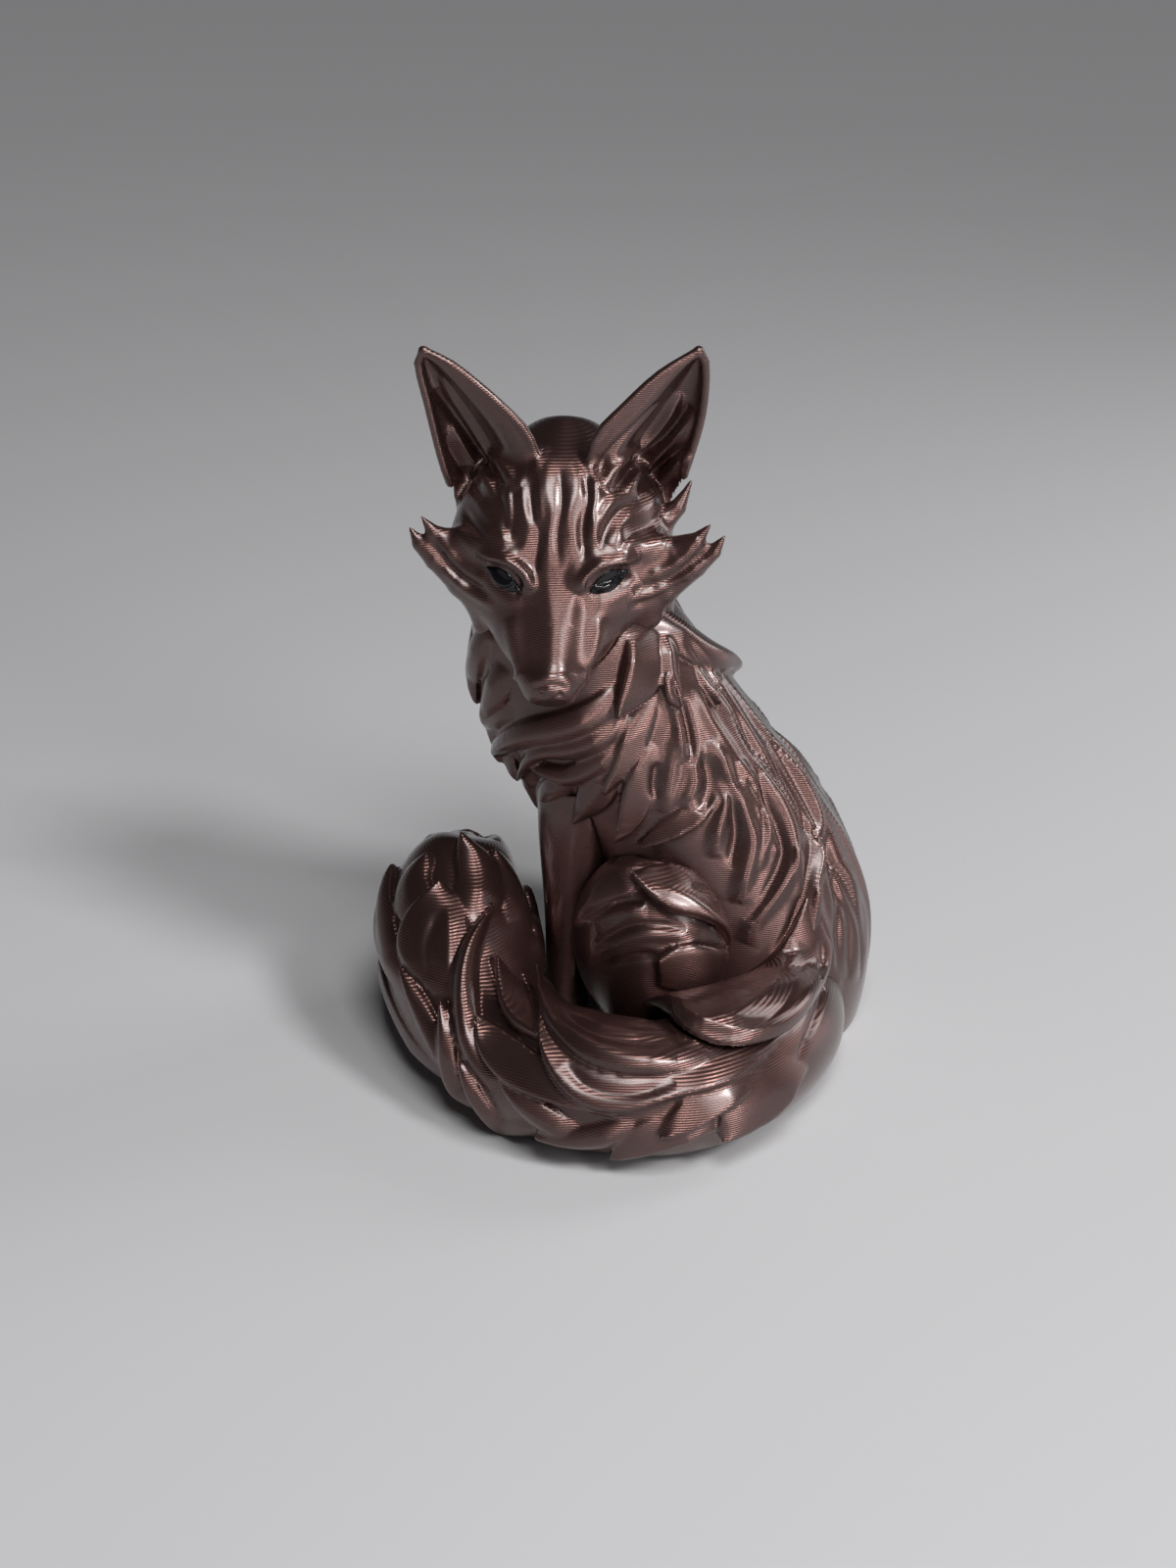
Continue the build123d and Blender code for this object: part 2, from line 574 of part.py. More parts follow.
os.makedirs("parts", exist_ok=True)
export_step(head.part, "parts/head.step")
export_step(nose.part, "parts/nose.step")
export_step(left_eye.part, "parts/left_eye.step")
export_step(right_eye.part, "parts/right_eye.step")
export_step(left_ear.part, "parts/left_ear.step")
export_step(right_ear.part, "parts/right_ear.step")
export_step(left_ear_tuft.part, "parts/left_ear_tuft.step")
export_step(right_ear_tuft.part, "parts/right_ear_tuft.step")
export_step(left_cheek_tuft.part, "parts/left_cheek_tuft.step")
export_step(right_cheek_tuft.part, "parts/right_cheek_tuft.step")
export_step(torso.part, "parts/torso.step")
export_step(left_foreleg.part, "parts/left_foreleg.step")
export_step(right_foreleg.part, "parts/right_foreleg.step")
export_step(left_forepaw.part, "parts/left_forepaw.step")
export_step(right_forepaw.part, "parts/right_forepaw.step")
export_step(left_haunch.part, "parts/left_haunch.step")
export_step(right_haunch.part, "parts/right_haunch.step")
export_step(left_hind_paw.part, "parts/left_hind_paw.step")
export_step(right_hind_paw.part, "parts/right_hind_paw.step")
export_step(left_mane_locks.part, "parts/left_mane_locks.step")
export_step(right_mane_locks.part, "parts/right_mane_locks.step")
export_step(chest_locks.part, "parts/chest_locks.step")
export_step(left_flank_locks.part, "parts/left_flank_locks.step")
export_step(right_flank_locks.part, "parts/right_flank_locks.step")
export_step(back_locks.part, "parts/back_locks.step")
export_step(left_haunch_locks.part, "parts/left_haunch_locks.step")
export_step(right_haunch_locks.part, "parts/right_haunch_locks.step")
export_step(tail.part, "parts/tail.step")
export_step(tail_root_locks.part, "parts/tail_root_locks.step")
export_step(tail_upper_locks.part, "parts/tail_upper_locks.step")
export_step(tail_outer_locks.part, "parts/tail_outer_locks.step")
export_step(tail_lower_locks.part, "parts/tail_lower_locks.step")
export_step(tail_inner_locks.part, "parts/tail_inner_locks.step")
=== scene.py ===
"""Sitting fox figurine in dark brown silk print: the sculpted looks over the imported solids.

Metres, in the part's frame. Locks of fur are leaves laid on the solids, ridges and grooves are strokes
pressed into the skin, and each mass is remeshed with its own locks into one closed piece.
Places that the photograph shows are written as its pixels and cast onto the solids from its camera.
Places on the far sides are written in millimetres and cast straight from the back, the sides or above.
"""

import math
from typing import NamedTuple

import bpy
import numpy as np
import openvdb
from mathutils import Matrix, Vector
from mathutils.bvhtree import BVHTree


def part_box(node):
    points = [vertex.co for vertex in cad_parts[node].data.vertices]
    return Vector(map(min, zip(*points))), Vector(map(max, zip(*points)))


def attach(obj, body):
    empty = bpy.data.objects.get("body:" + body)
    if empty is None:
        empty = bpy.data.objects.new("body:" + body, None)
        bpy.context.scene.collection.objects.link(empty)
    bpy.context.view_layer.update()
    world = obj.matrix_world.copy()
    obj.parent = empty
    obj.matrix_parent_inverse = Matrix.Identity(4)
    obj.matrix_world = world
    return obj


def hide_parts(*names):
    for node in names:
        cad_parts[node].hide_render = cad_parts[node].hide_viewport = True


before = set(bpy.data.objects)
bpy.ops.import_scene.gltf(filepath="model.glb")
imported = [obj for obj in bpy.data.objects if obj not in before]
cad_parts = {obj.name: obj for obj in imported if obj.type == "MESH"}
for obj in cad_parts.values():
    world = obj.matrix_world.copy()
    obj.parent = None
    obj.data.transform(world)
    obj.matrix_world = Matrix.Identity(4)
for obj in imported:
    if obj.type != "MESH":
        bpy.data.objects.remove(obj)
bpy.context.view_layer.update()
MM = 0.001
TINY = 1e-12

# Photograph's camera
PHOTO_WIDTH, PHOTO_HEIGHT = 1200, 1600
FOCAL_PIXELS = 2200.0
CAMERA_PLACE = Vector((-4.4, -199.3, 130.1)) * MM
CAMERA_PITCH = math.radians(26.3)
SENSOR = 36.0
FORWARD = Vector((0, math.cos(CAMERA_PITCH), -math.sin(CAMERA_PITCH)))
UPWARD = Vector((0, math.sin(CAMERA_PITCH), math.cos(CAMERA_PITCH)))
RIGHTWARD = Vector((1, 0, 0))

# Plane that the two sides of the body mirror in
BODY_Y = 8.7 * MM

# Fineness of the sculpt
VOXEL = 0.22 * MM
HEAD_VOXEL = 0.2 * MM
EYE_VOXEL = 0.1 * MM
SKIN_SMOOTH, HEAD_SMOOTH, PAW_SMOOTH, EYE_SMOOTH = 4, 2, 8, 6
CURVE_STEPS = 20
LEAF_LENGTHS, LEAF_WIDTHS = 32, 15
EDGE_CALM, MIDDLE_CALM, BASE_CALM, NORMAL_CALM = 2, 3, 2, 4
TUBE_ROWS, TUBE_SIDES = 24, 20
STROKE_POINTS = 60

# Start of a ray of the plain views, and depths tried along a ray that misses, in mm
FAR = 100
MISS_DEPTHS = range(20, 300, 2)

# A direction that no tube follows
TUBE_ASIDE = (0.3, 0.5, 0.8)

# Reach of the signed distances in mm
CLAY_REACH = 4.0

# Outline of a leaf: its start along a half wave, the lean of the wave to the root and its fullness
OUTLINE_START, OUTLINE_LEAN, OUTLINE_FULL = 0.12, 0.85, 0.75

# Rise of a lock out of its root, over a share of its length
ROOT_SHARE, ROOT_CURVE = 0.3, 0.7

# Section of a blade: its lip, the slope from there to its other edge, and the gap under the lip
LIP_EDGE, LIP_SHARE, LIP_CURVE = 0.45, 0.1, 0.6
SLOPE_END, SLOPE_CURVE = 0.12, 1.2
GAP_START, GAP_FULL = 0.5, 0.2
BLADE_SUNK, BLADE_WALL = 0.7, 0.95

# Section of a leaf: its edge, its dome, which narrows to the tip, and its underside
LEAF_EDGE, DOME_CURVE = 0.35, 1.5
TIP_SHARE, TIP_CURVE, TIP_DOME = 0.25, 0.5, 0.35
LEAF_WALL, LEAF_LOW, LEAF_SUNK = 0.45, 0.15, 0.6

# Section and ends of a stroke, and how far the skin may turn away from it
STROKE_REACH = 2.2
STROKE_FADE, STROKE_FADE_CURVE = 0.2, 0.7
STROKE_FACING = 0.5


class Leaf(NamedTuple):
    """A lock of fur: its middle line from root to tip, and its width, thickness and tip lift in mm.

    level lifts the whole leaf over its neighbours, but for its root.
    """

    path: tuple
    width: float
    thick: float = 1.2
    lift: float = 0.6
    level: float = 0.0


class Blade(NamedTuple):
    """A flat lock by its free lip, which stands off its bed, and its other edge, both from root to tip."""

    lip: tuple
    other: tuple
    thick: float = 1.2
    lift: float = 0.6
    level: float = 0.0


class Stroke(NamedTuple):
    """A ridge, or a groove where the height is negative: its line, half width and height in mm."""

    path: tuple
    width: float
    height: float


def curve(points, count):
    """Evenly spread points on a smooth curve through the given ones."""
    p = np.array(points, float)
    ends = np.vstack([2 * p[0] - p[1], p, 2 * p[-1] - p[-2]])
    f = np.linspace(0, 1, CURVE_STEPS, endpoint=False)[:, None]
    runs = []
    for i in range(len(p) - 1):
        a, b, c, d = ends[i:i + 4]
        bend = 2 * a - 5 * b + 4 * c - d
        twist = 3 * b - a - 3 * c + d
        runs.append(b + 0.5 * f * ((c - a) + f * (bend + f * twist)))
    dense = np.vstack(runs + [p[-1:]])
    reach = np.concatenate([[0], np.cumsum(np.linalg.norm(np.diff(dense, axis=0), axis=1))])
    spread = np.linspace(0, reach[-1], count)
    return np.stack([np.interp(spread, reach, dense[:, k]) for k in range(dense.shape[1])], 1)


def ray_of(view, point):
    """Start and direction of the ray through a point as one of the views gives it."""
    u, v = point
    if view == "photo":
        across = (u - PHOTO_WIDTH / 2) / FOCAL_PIXELS
        down = (v - PHOTO_HEIGHT / 2) / FOCAL_PIXELS
        return CAMERA_PLACE, (FORWARD + RIGHTWARD * across - UPWARD * down).normalized()
    starts = {
        "back": (Vector((u, FAR, v)), Vector((0, -1, 0))),
        "left": (Vector((-FAR, u, v)), Vector((1, 0, 0))),
        "right": (Vector((FAR, u, v)), Vector((-1, 0, 0))),
        "top": (Vector((u, v, FAR)), Vector((0, 0, -1))),
    }
    start, way = starts[view]
    return start * MM, way


def cast(view, points, tree):
    """Places on a skin under the points of a view. A ray that misses takes the place it passes nearest."""
    places = []
    for point in points:
        start, way = ray_of(view, point)
        hit = tree.ray_cast(start, way)[0]
        if hit is None:
            tries = [tree.find_nearest(start + way * (depth * MM)) for depth in MISS_DEPTHS]
            hit = min(tries, key=lambda found: found[3])[0]
        places.append(hit)
    return np.array(places)


def unit(rows):
    return rows / (np.linalg.norm(rows, axis=1, keepdims=True) + TINY)


def normals_at(places, tree):
    return np.array([tree.find_nearest(Vector(p))[1] for p in places])


def soften(rows, times):
    """Average each row of numbers with its neighbours."""
    for _ in range(times):
        rows = np.vstack([rows[:1], (rows[:-2] + 2 * rows[1:-1] + rows[2:]) / 4, rows[-1:]])
    return rows


def leaf_outline(share):
    """Width of a leaf along its length, from root to tip, as a share of its greatest width."""
    wave = np.clip(OUTLINE_START + (1 - OUTLINE_START) * share, 0, 1) ** OUTLINE_LEAN
    return np.clip(np.sin(math.pi * wave), 0, 1) ** OUTLINE_FULL


def edges_of(lock, view, tree):
    """The two edges of a lock in space."""
    if isinstance(lock, Blade):
        edge_a = cast(view, curve(lock.lip, LEAF_LENGTHS), tree)
        edge_b = cast(view, curve(lock.other, LEAF_LENGTHS), tree)
        return soften(edge_a, EDGE_CALM), soften(edge_b, EDGE_CALM)
    middle = soften(cast(view, curve(lock.path, LEAF_LENGTHS), tree), MIDDLE_CALM)
    normal = unit(soften(normals_at(middle, tree), MIDDLE_CALM))
    along = unit(np.gradient(middle, axis=0))
    half = 0.5 * lock.width * MM * leaf_outline(np.linspace(0, 1, LEAF_LENGTHS))[:, None]
    side = unit(np.cross(normal, along)) * half
    return middle + side, middle - side


def ramp(values, first, last):
    """0 before first, 1 after last, and smooth between."""
    share = np.clip((values - first) / (last - first), 0, 1)
    return share * share * (3 - 2 * share)


def leaf_heights(lock, share, across):
    """Heights of a lock's two faces over the solid, in mm."""
    root = np.clip(share / ROOT_SHARE, 0, 1) ** ROOT_CURVE
    raised = root * lock.level + lock.lift * share ** 2
    if isinstance(lock, Blade):
        lip = LIP_EDGE + (1 - LIP_EDGE) * np.clip(across / LIP_SHARE, 0, 1) ** LIP_CURVE
        slope = SLOPE_END + (1 - SLOPE_END) * (1 - across) ** SLOPE_CURVE
        upper = raised + root * lock.thick * lip * slope
        gap = root * ramp(-across, -GAP_START, -GAP_FULL)
        lower = -BLADE_SUNK + gap * np.maximum(upper - BLADE_WALL + BLADE_SUNK, 0)
        return upper, lower
    narrow = np.clip((1 - share) / TIP_SHARE, 0, 1) ** TIP_CURVE
    dome = (1 - np.abs(2 * across - 1) ** DOME_CURVE) * (TIP_DOME + (1 - TIP_DOME) * narrow)
    upper = raised + root * (LEAF_EDGE + (lock.thick - LEAF_EDGE) * dome)
    lower = np.minimum(raised - LEAF_WALL, LEAF_LOW) - LEAF_SUNK + np.zeros_like(across)
    return upper, lower


def leaf_mesh(lock, view, tree):
    """Closed mesh of one lock: a face that follows the solid, over a face sunk into it or lifted off it."""
    share, across, spots = sheet(*edges_of(lock, view, tree), LEAF_WIDTHS)
    base = np.zeros_like(spots)
    normal = np.zeros_like(spots)
    for i in range(LEAF_LENGTHS):
        for j in range(LEAF_WIDTHS):
            base[i, j], normal[i, j] = tree.find_nearest(Vector(spots[i, j]))[:2]
    for k in range(LEAF_WIDTHS):
        base[:, k] = soften(base[:, k], BASE_CALM)
        normal[:, k] = unit(soften(normal[:, k], NORMAL_CALM))
    upper, lower = leaf_heights(lock, share, across)
    return closed_part(base + normal * (upper * MM)[..., None], base + normal * (lower * MM)[..., None])


def tube_part(places, radii):
    """Closed mesh of a tapering tube through places in mm, with a radius in mm at each."""
    path = curve(places, TUBE_ROWS)
    reach = np.interp(np.linspace(0, len(radii) - 1, TUBE_ROWS), np.arange(len(radii)), radii)
    along = unit(np.gradient(path, axis=0))
    across = unit(np.cross(along, TUBE_ASIDE))
    beyond = np.cross(along, across)
    turns = np.linspace(0, 2 * math.pi, TUBE_SIDES, endpoint=False)[None, :, None]
    spokes = across[:, None] * np.cos(turns) + beyond[:, None] * np.sin(turns)
    rings = path[:, None] + reach[:, None, None] * spokes
    last = (TUBE_ROWS - 1) * TUBE_SIDES
    faces = [tuple(range(TUBE_SIDES))[::-1], tuple(range(last, last + TUBE_SIDES))]
    for i in range(TUBE_ROWS - 1):
        for j in range(TUBE_SIDES):
            a, b = i * TUBE_SIDES + j, i * TUBE_SIDES + (j + 1) % TUBE_SIDES
            faces.append((a, b, b + TUBE_SIDES, a + TUBE_SIDES))
    return rings.reshape(-1, 3) * MM, faces


def sheet(first, last, columns):
    """Shares along and across the space between two edges, and a grid of places in it."""
    share = np.linspace(0, 1, len(first))[:, None]
    across = np.linspace(0, 1, columns)[None, :]
    spots = first[:, None] * (1 - across[..., None]) + last[:, None] * across[..., None]
    return share, across, spots


def closed_part(upper, lower):
    """Closed mesh of two grids of places that lie face to face, joined round their rim."""
    rows, columns = upper.shape[:2]

    def index(layer, i, j):
        return layer * rows * columns + i * columns + j
    faces = []
    for i in range(rows - 1):
        for j in range(columns - 1):
            faces.append((index(0, i, j), index(0, i + 1, j), index(0, i + 1, j + 1), index(0, i, j + 1)))
            faces.append((index(1, i, j), index(1, i, j + 1), index(1, i + 1, j + 1), index(1, i + 1, j)))
    for i in range(rows - 1):
        for j, flip in ((0, False), (columns - 1, True)):
            rim = (index(0, i, j), index(1, i, j), index(1, i + 1, j), index(0, i + 1, j))
            faces.append(rim[::-1] if flip else rim)
    for j in range(columns - 1):
        for i, flip in ((0, True), (rows - 1, False)):
            rim = (index(0, i, j), index(1, i, j), index(1, i, j + 1), index(0, i, j + 1))
            faces.append(rim[::-1] if flip else rim)
    return np.vstack([upper.reshape(-1, 3), lower.reshape(-1, 3)]), faces


def mirrored(part):
    """The same mesh on the other side of the body."""
    points, faces = part
    flipped = points.copy()
    flipped[:, 1] = 2 * BODY_Y - flipped[:, 1]
    return flipped, [face[::-1] for face in faces]


def points_of(mesh):
    points = np.zeros(len(mesh.vertices) * 3)
    mesh.vertices.foreach_get("co", points)
    return points.reshape(-1, 3)


def mesh_part(mesh):
    return points_of(mesh), [tuple(face.vertices) for face in mesh.polygons]


def node_part(name):
    """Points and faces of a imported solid."""
    return mesh_part(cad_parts[name].data)


def search_tree(parts):
    points, faces = merged(parts)
    return BVHTree.FromPolygons([Vector(point) for point in points], faces)


def tree_of(*names):
    """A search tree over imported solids, to lay locks on."""
    return search_tree([node_part(name) for name in names])


def merged(parts):
    points, faces, count = [], [], 0
    for part_points, part_faces in parts:
        points.append(part_points)
        faces += [tuple(k + count for k in face) for face in part_faces]
        count += len(part_points)
    return np.vstack(points), faces


def mesh_object(name, points, faces):
    mesh = bpy.data.meshes.new(name)
    mesh.from_pydata(points.tolist(), [], faces)
    mesh.update()
    piece = bpy.data.objects.new(name, mesh)
    bpy.context.scene.collection.objects.link(piece)
    return piece


def smoothed(piece, times):
    """Calm the skin, and put the result of all the piece's modifiers in its mesh."""
    calm = piece.modifiers.new("calm", "SMOOTH")
    calm.factor = 0.5
    calm.iterations = times
    bpy.context.view_layer.update()
    graph = bpy.context.evaluated_depsgraph_get()
    mesh = bpy.data.meshes.new_from_object(piece.evaluated_get(graph))
    piece.modifiers.clear()
    old = piece.data
    piece.data = mesh
    bpy.data.meshes.remove(old)
    mesh.name = piece.name
    return piece


def remeshed(name, parts, voxel=VOXEL, smooth=SKIN_SMOOTH):
    """One closed skin round all the parts."""
    piece = mesh_object(name, *merged(parts))
    change = piece.modifiers.new("skin", "REMESH")
    change.mode = "VOXEL"
    change.voxel_size = voxel
    change.use_smooth_shade = True
    return smoothed(piece, smooth)


def skin_tree(piece):
    """A search tree over a finished skin."""
    return search_tree([mesh_part(piece.data)])


def press(piece, view, strokes, both_sides=False, tree=None):
    """Raise ridges and press grooves into the skin, on lines cast onto it or onto another tree."""
    mesh = piece.data
    tree = tree or skin_tree(piece)
    points = points_of(mesh)
    normals = np.zeros(points.size)
    mesh.vertex_normals.foreach_get("vector", normals)
    normals = normals.reshape(-1, 3)
    shift = np.zeros(len(points))
    for stroke in strokes:
        line = cast(view, curve(stroke.path, STROKE_POINTS), tree)
        way = np.array(ray_of(view, stroke.path[len(stroke.path) // 2])[1])
        sides = [(line, way)]
        if both_sides:
            sides.append((line * (1, -1, 1) + (0, 2 * BODY_Y, 0), way * (1, -1, 1)))
        for spots, aim in sides:
            reach = STROKE_REACH * stroke.width * MM
            near = np.where(((points > spots.min(0) - reach) & (points < spots.max(0) + reach)).all(1))[0]
            if not len(near):
                continue
            gaps = np.linalg.norm(points[near][:, None] - spots[None], axis=2)
            place = gaps.argmin(1) / (STROKE_POINTS - 1)
            fade = np.clip(np.minimum(place, 1 - place) / STROKE_FADE, 0, 1) ** STROKE_FADE_CURVE
            facing = ramp(-(normals[near] @ aim), 0.0, STROKE_FACING)
            gap = gaps.min(1) / (stroke.width * MM)
            shift[near] += stroke.height * MM * fade * facing * np.exp(-gap ** 2)
    points += normals * shift[:, None]
    mesh.vertices.foreach_set("co", points.ravel())
    mesh.update()


# Head's own directions, as in the part
HEAD_TOP = Vector((-7.1, 8.9, 67.0)) * MM
HEAD_BOW, HEAD_TURN = math.radians(54.5), math.radians(4.6)
HEAD_AXIS = Vector((-math.sin(HEAD_TURN) * math.cos(HEAD_BOW), -math.cos(HEAD_TURN) * math.cos(HEAD_BOW),
                    -math.sin(HEAD_BOW)))
HEAD_SIDE = Vector((math.cos(HEAD_TURN), -math.sin(HEAD_TURN), 0))
HEAD_CROWN = HEAD_AXIS.cross(HEAD_SIDE)


def in_head(side, forward, crown):
    """A place given in mm along the head's own directions."""
    return HEAD_TOP + (HEAD_SIDE * side + HEAD_AXIS * forward + HEAD_CROWN * crown) * MM


class Clay:
    """A block of signed distances in which forms are joined softly."""

    def __init__(self, low, high, voxel):
        self.voxel = voxel
        self.start = np.floor(np.array(low) / voxel).astype(int)
        self.shape = tuple(np.ceil((np.array(high) - np.array(low)) / voxel).astype(int))
        self.reach = CLAY_REACH * MM
        self.field = np.full(self.shape, self.reach, np.float32)
        self.grid = openvdb.createLinearTransform(voxelSize=voxel)

    def add_part(self, part, soft):
        """Join a closed mesh."""
        points, faces = part
        triangles = [(f[0], f[k], f[k + 1]) for f in faces for k in range(1, len(f) - 1)]
        grid = openvdb.FloatGrid.createLevelSetFromPolygons(
            points.astype(np.float32), triangles=np.array(triangles, np.uint32), transform=self.grid,
            halfWidth=self.reach / self.voxel)
        field = np.zeros(self.shape, np.float32)
        grid.copyToArray(field, ijk=tuple(int(k) for k in self.start))
        self.field = self.joined(self.field, field, soft * MM)

    def joined(self, a, b, soft):
        mix = np.clip(0.5 + 0.5 * (a - b) / soft, 0, 1)
        return a + (b - a) * mix - soft * mix * (1 - mix)

    def add_tube(self, places, radii, soft):
        """Join a tube through places in space with a radius in mm at each."""
        places = np.array(places)
        radii = np.array(radii) * MM
        soft = soft * MM
        rim = radii.max() + 2 * soft
        low = np.floor((places.min(0) - rim) / self.voxel).astype(int) - self.start
        high = np.ceil((places.max(0) + rim) / self.voxel).astype(int) - self.start
        low = np.clip(low, 0, self.shape)
        high = np.clip(high, 0, self.shape)
        block = tuple(slice(a, b) for a, b in zip(low, high))
        spots = np.stack(np.meshgrid(*[np.arange(a, b) for a, b in zip(low, high)], indexing="ij"), -1)
        spots = (spots + self.start) * self.voxel
        nearest = np.full(spots.shape[:3], np.inf)
        for k in range(len(places) - 1):
            way = places[k + 1] - places[k]
            share = np.clip((spots - places[k]) @ way / (way @ way), 0, 1)
            gap = np.linalg.norm(spots - places[k] - share[..., None] * way, axis=-1)
            nearest = np.minimum(nearest, gap - radii[k] - share * (radii[k + 1] - radii[k]))
        self.field[block] = self.joined(self.field[block], nearest, soft)

    def skin(self, name):
        """The surface of the clay as a mesh object."""
        grid = openvdb.FloatGrid()
        grid.copyFromArray(self.field, ijk=tuple(int(k) for k in self.start))
        grid.transform = self.grid
        points, quads = grid.convertToQuads()
        piece = mesh_object(name, np.array(points, float), [tuple(int(k) for k in q) for q in quads])
        piece.data.shade_smooth()
        return smoothed(piece, HEAD_SMOOTH)


class Ear(NamedTuple):
    """An ear by the photograph's pixels along its inner and outer edge, from root to tip."""

    side: int
    inner: tuple
    outer: tuple


EARS = (
    Ear(-1, ((556, 512), (550, 480), (539, 446), (513, 417), (464, 376), (431, 359)),
        ((480, 530), (464, 506), (451, 473), (436, 414), (426, 373), (431, 359))),
    Ear(1, ((594, 512), (600, 480), (610, 446), (635, 419), (673, 384), (714, 359)),
        ((680, 520), (694, 496), (704, 470), (717, 424), (721, 376), (714, 359))),
)
EAR_TOE, EAR_SPLAY, EAR_LEAN = math.radians(22), math.radians(25), -0.07
EAR_ROOT = (6.6, 4.6, -0.8)
EAR_ROWS, EAR_COLUMNS = 40, 21
EAR_SINK, EAR_SINK_SHARE = 3.0, 0.25
EAR_CUP, EAR_TIP_CUP, EAR_CUP_CURVE = 3.4, 0.25, 0.7
EAR_HOLLOW_LEAN, EAR_HOLLOW_CURVE = 2.0, 2.2
EAR_ROLL, EAR_ROLL_WIDTH, EAR_TAPER = 1.0, 0.55, 0.5
EAR_WALL, EAR_TIP_WALL, EAR_EDGE_WALL = 1.0, 0.7, 0.6
EAR_RIM, EAR_RIM_START, EAR_RIM_STEP = 0.45, 9, 3


def ear_forms(ear):
    """Closed mesh of one ear, a cup open to the front and deepest near its outer edge, and its two rims."""
    axis = Vector((ear.side * math.sin(EAR_SPLAY), EAR_LEAN, math.cos(EAR_SPLAY))).normalized()
    back = Vector((-ear.side * math.sin(EAR_TOE), math.cos(EAR_TOE), 0))
    back = (back - axis * back.dot(axis)).normalized()
    root = in_head(ear.side * EAR_ROOT[0], *EAR_ROOT[1:])
    edges = []
    for pixels in (ear.inner, ear.outer):
        edge = []
        for row, pixel in enumerate(curve(pixels, EAR_ROWS)):
            start, way = ray_of("photo", pixel)
            sunk = EAR_SINK * MM * max(0, 1 - row / (EAR_SINK_SHARE * EAR_ROWS))
            edge.append(start + way * ((root - start).dot(back) / way.dot(back) + sunk))
        edges.append(np.array(edge))
    share, across, flat = sheet(*edges, EAR_COLUMNS)
    taper = (1 - share) ** EAR_TAPER
    hollow = 1 - np.abs(2 * across ** EAR_HOLLOW_LEAN - 1) ** EAR_HOLLOW_CURVE
    roll = np.sin(math.pi * np.clip(across / EAR_ROLL_WIDTH, 0, 1))
    cup = (EAR_TIP_CUP + EAR_CUP * (1 - share) ** EAR_CUP_CURVE) * hollow - EAR_ROLL * taper * roll
    wall = (EAR_TIP_WALL + EAR_WALL * taper) * (EAR_EDGE_WALL + (1 - EAR_EDGE_WALL) * hollow)
    direction = np.array(back)
    front = flat + direction * (cup * MM)[..., None]
    rear = flat + direction * ((cup + wall) * MM)[..., None]
    rims = [edge + direction * (0.5 * EAR_RIM * MM) for edge in edges]
    return closed_part(front, rear), rims


# Forms joined to the head: places by its own directions side, forward and crown, radii, and softness in mm
CHEEK_FORMS = (
    (((6.0, 15.4, -6.0), (10.2, 14.3, -4.6), (13.6, 13.0, -3.0), (15.6, 12.0, -1.9), (16.7, 10.6, -0.9)),
     (3.8, 2.6, 1.5, 0.8, 0.12), 2.0),
    (((8.0, 12.6, -4.0), (11.6, 11.9, -2.6), (13.9, 11.0, -1.3), (15.3, 9.7, -0.1)),
     (2.6, 1.6, 0.8, 0.12), 1.2),
)
FACE_FORMS = (
    (((2.6, 15.6, 0.0), (4.2, 13.7, 0.2), (6.6, 12.2, -0.2), (9.4, 11.6, -2.0)), (0.6, 1.1, 1.2, 1.0), 1.4),
    (((3.2, 3.4, -3.6), (4.2, 5.2, -0.4), (4.4, 8.0, 0.6), (4.3, 11.5, 0.7)), (0.4, 0.8, 0.9, 0.6), 1.2),
)
EAR_LOCK = (((9.5, 8.5, -5.5), (11.8, 6.8, -4.4), (13.1, 4.4, -3.4)), (1.6, 0.9, 0.12), 1.0)
CROWN_FORM = (((0, 1.6, -8.2), (0, 3.8, -7.6), (0, 6.5, -7.4)), (3.6, 5.5, 7.2), 4.0)
SOLID_SOFT, RUFF_SOFT, EAR_SOFT, RIM_SOFT = 0.3, 0.5, 1.5, 0.3

# Sides of the head with the reach of their cheeks, since the head is turned
CHEEK_REACHES = ((-1, 0.88), (1, 1.0))

# Room round the top of the head for its clay, in mm
CLAY_LOW, CLAY_HIGH = Vector((19, 22, 27)), Vector((19, 19, 11))

# Ruff behind the head: turn round the neck in degrees from the body's back, top and length in mm
RUFF = (
    (-38, 60, 15), (-17, 60, 17.5), (5, 60, 14.5), (26, 60, 18), (47, 60, 15), (69, 60, 17), (91, 60, 14),
    (112, 60, 17.5), (133, 60, 15), (155, 60, 17), (177, 60, 14.5), (199, 60, 16.5),
    (-27, 62, 12), (-6, 62, 10), (16, 62, 12.5), (37, 63, 10.5), (58, 63, 12), (80, 63, 10),
    (101, 63, 12.5), (123, 63, 10.5), (144, 62, 12), (166, 62, 10), (188, 62, 12),
)
RUFF_LEAN, RUFF_DRIFT = 9, 0.06
RUFF_SHARES = (0, 0.25, 0.5, 0.75, 1)
RUFF_RADII = (2.2, 2.5, 2.3, 1.5, 0.2)
NECK_X, NECK_HEIGHT, NECK_REACH, NECK_ROUND = -7.0, 45.0, 9.4, 0.016


def ruff_lock(turn, top, length):
    """Places down one lock of the ruff, which leans round the neck towards its tip."""
    places = []
    for share in RUFF_SHARES:
        angle = math.radians(turn + RUFF_LEAN * share)
        drop = length * share
        height = top - drop
        reach = NECK_REACH - NECK_ROUND * (height - NECK_HEIGHT) ** 2
        spot = Vector((NECK_X + RUFF_DRIFT * drop, BODY_Y / MM, height))
        places.append((spot + Vector((math.cos(angle), math.sin(angle), 0)) * reach) * MM)
    return places


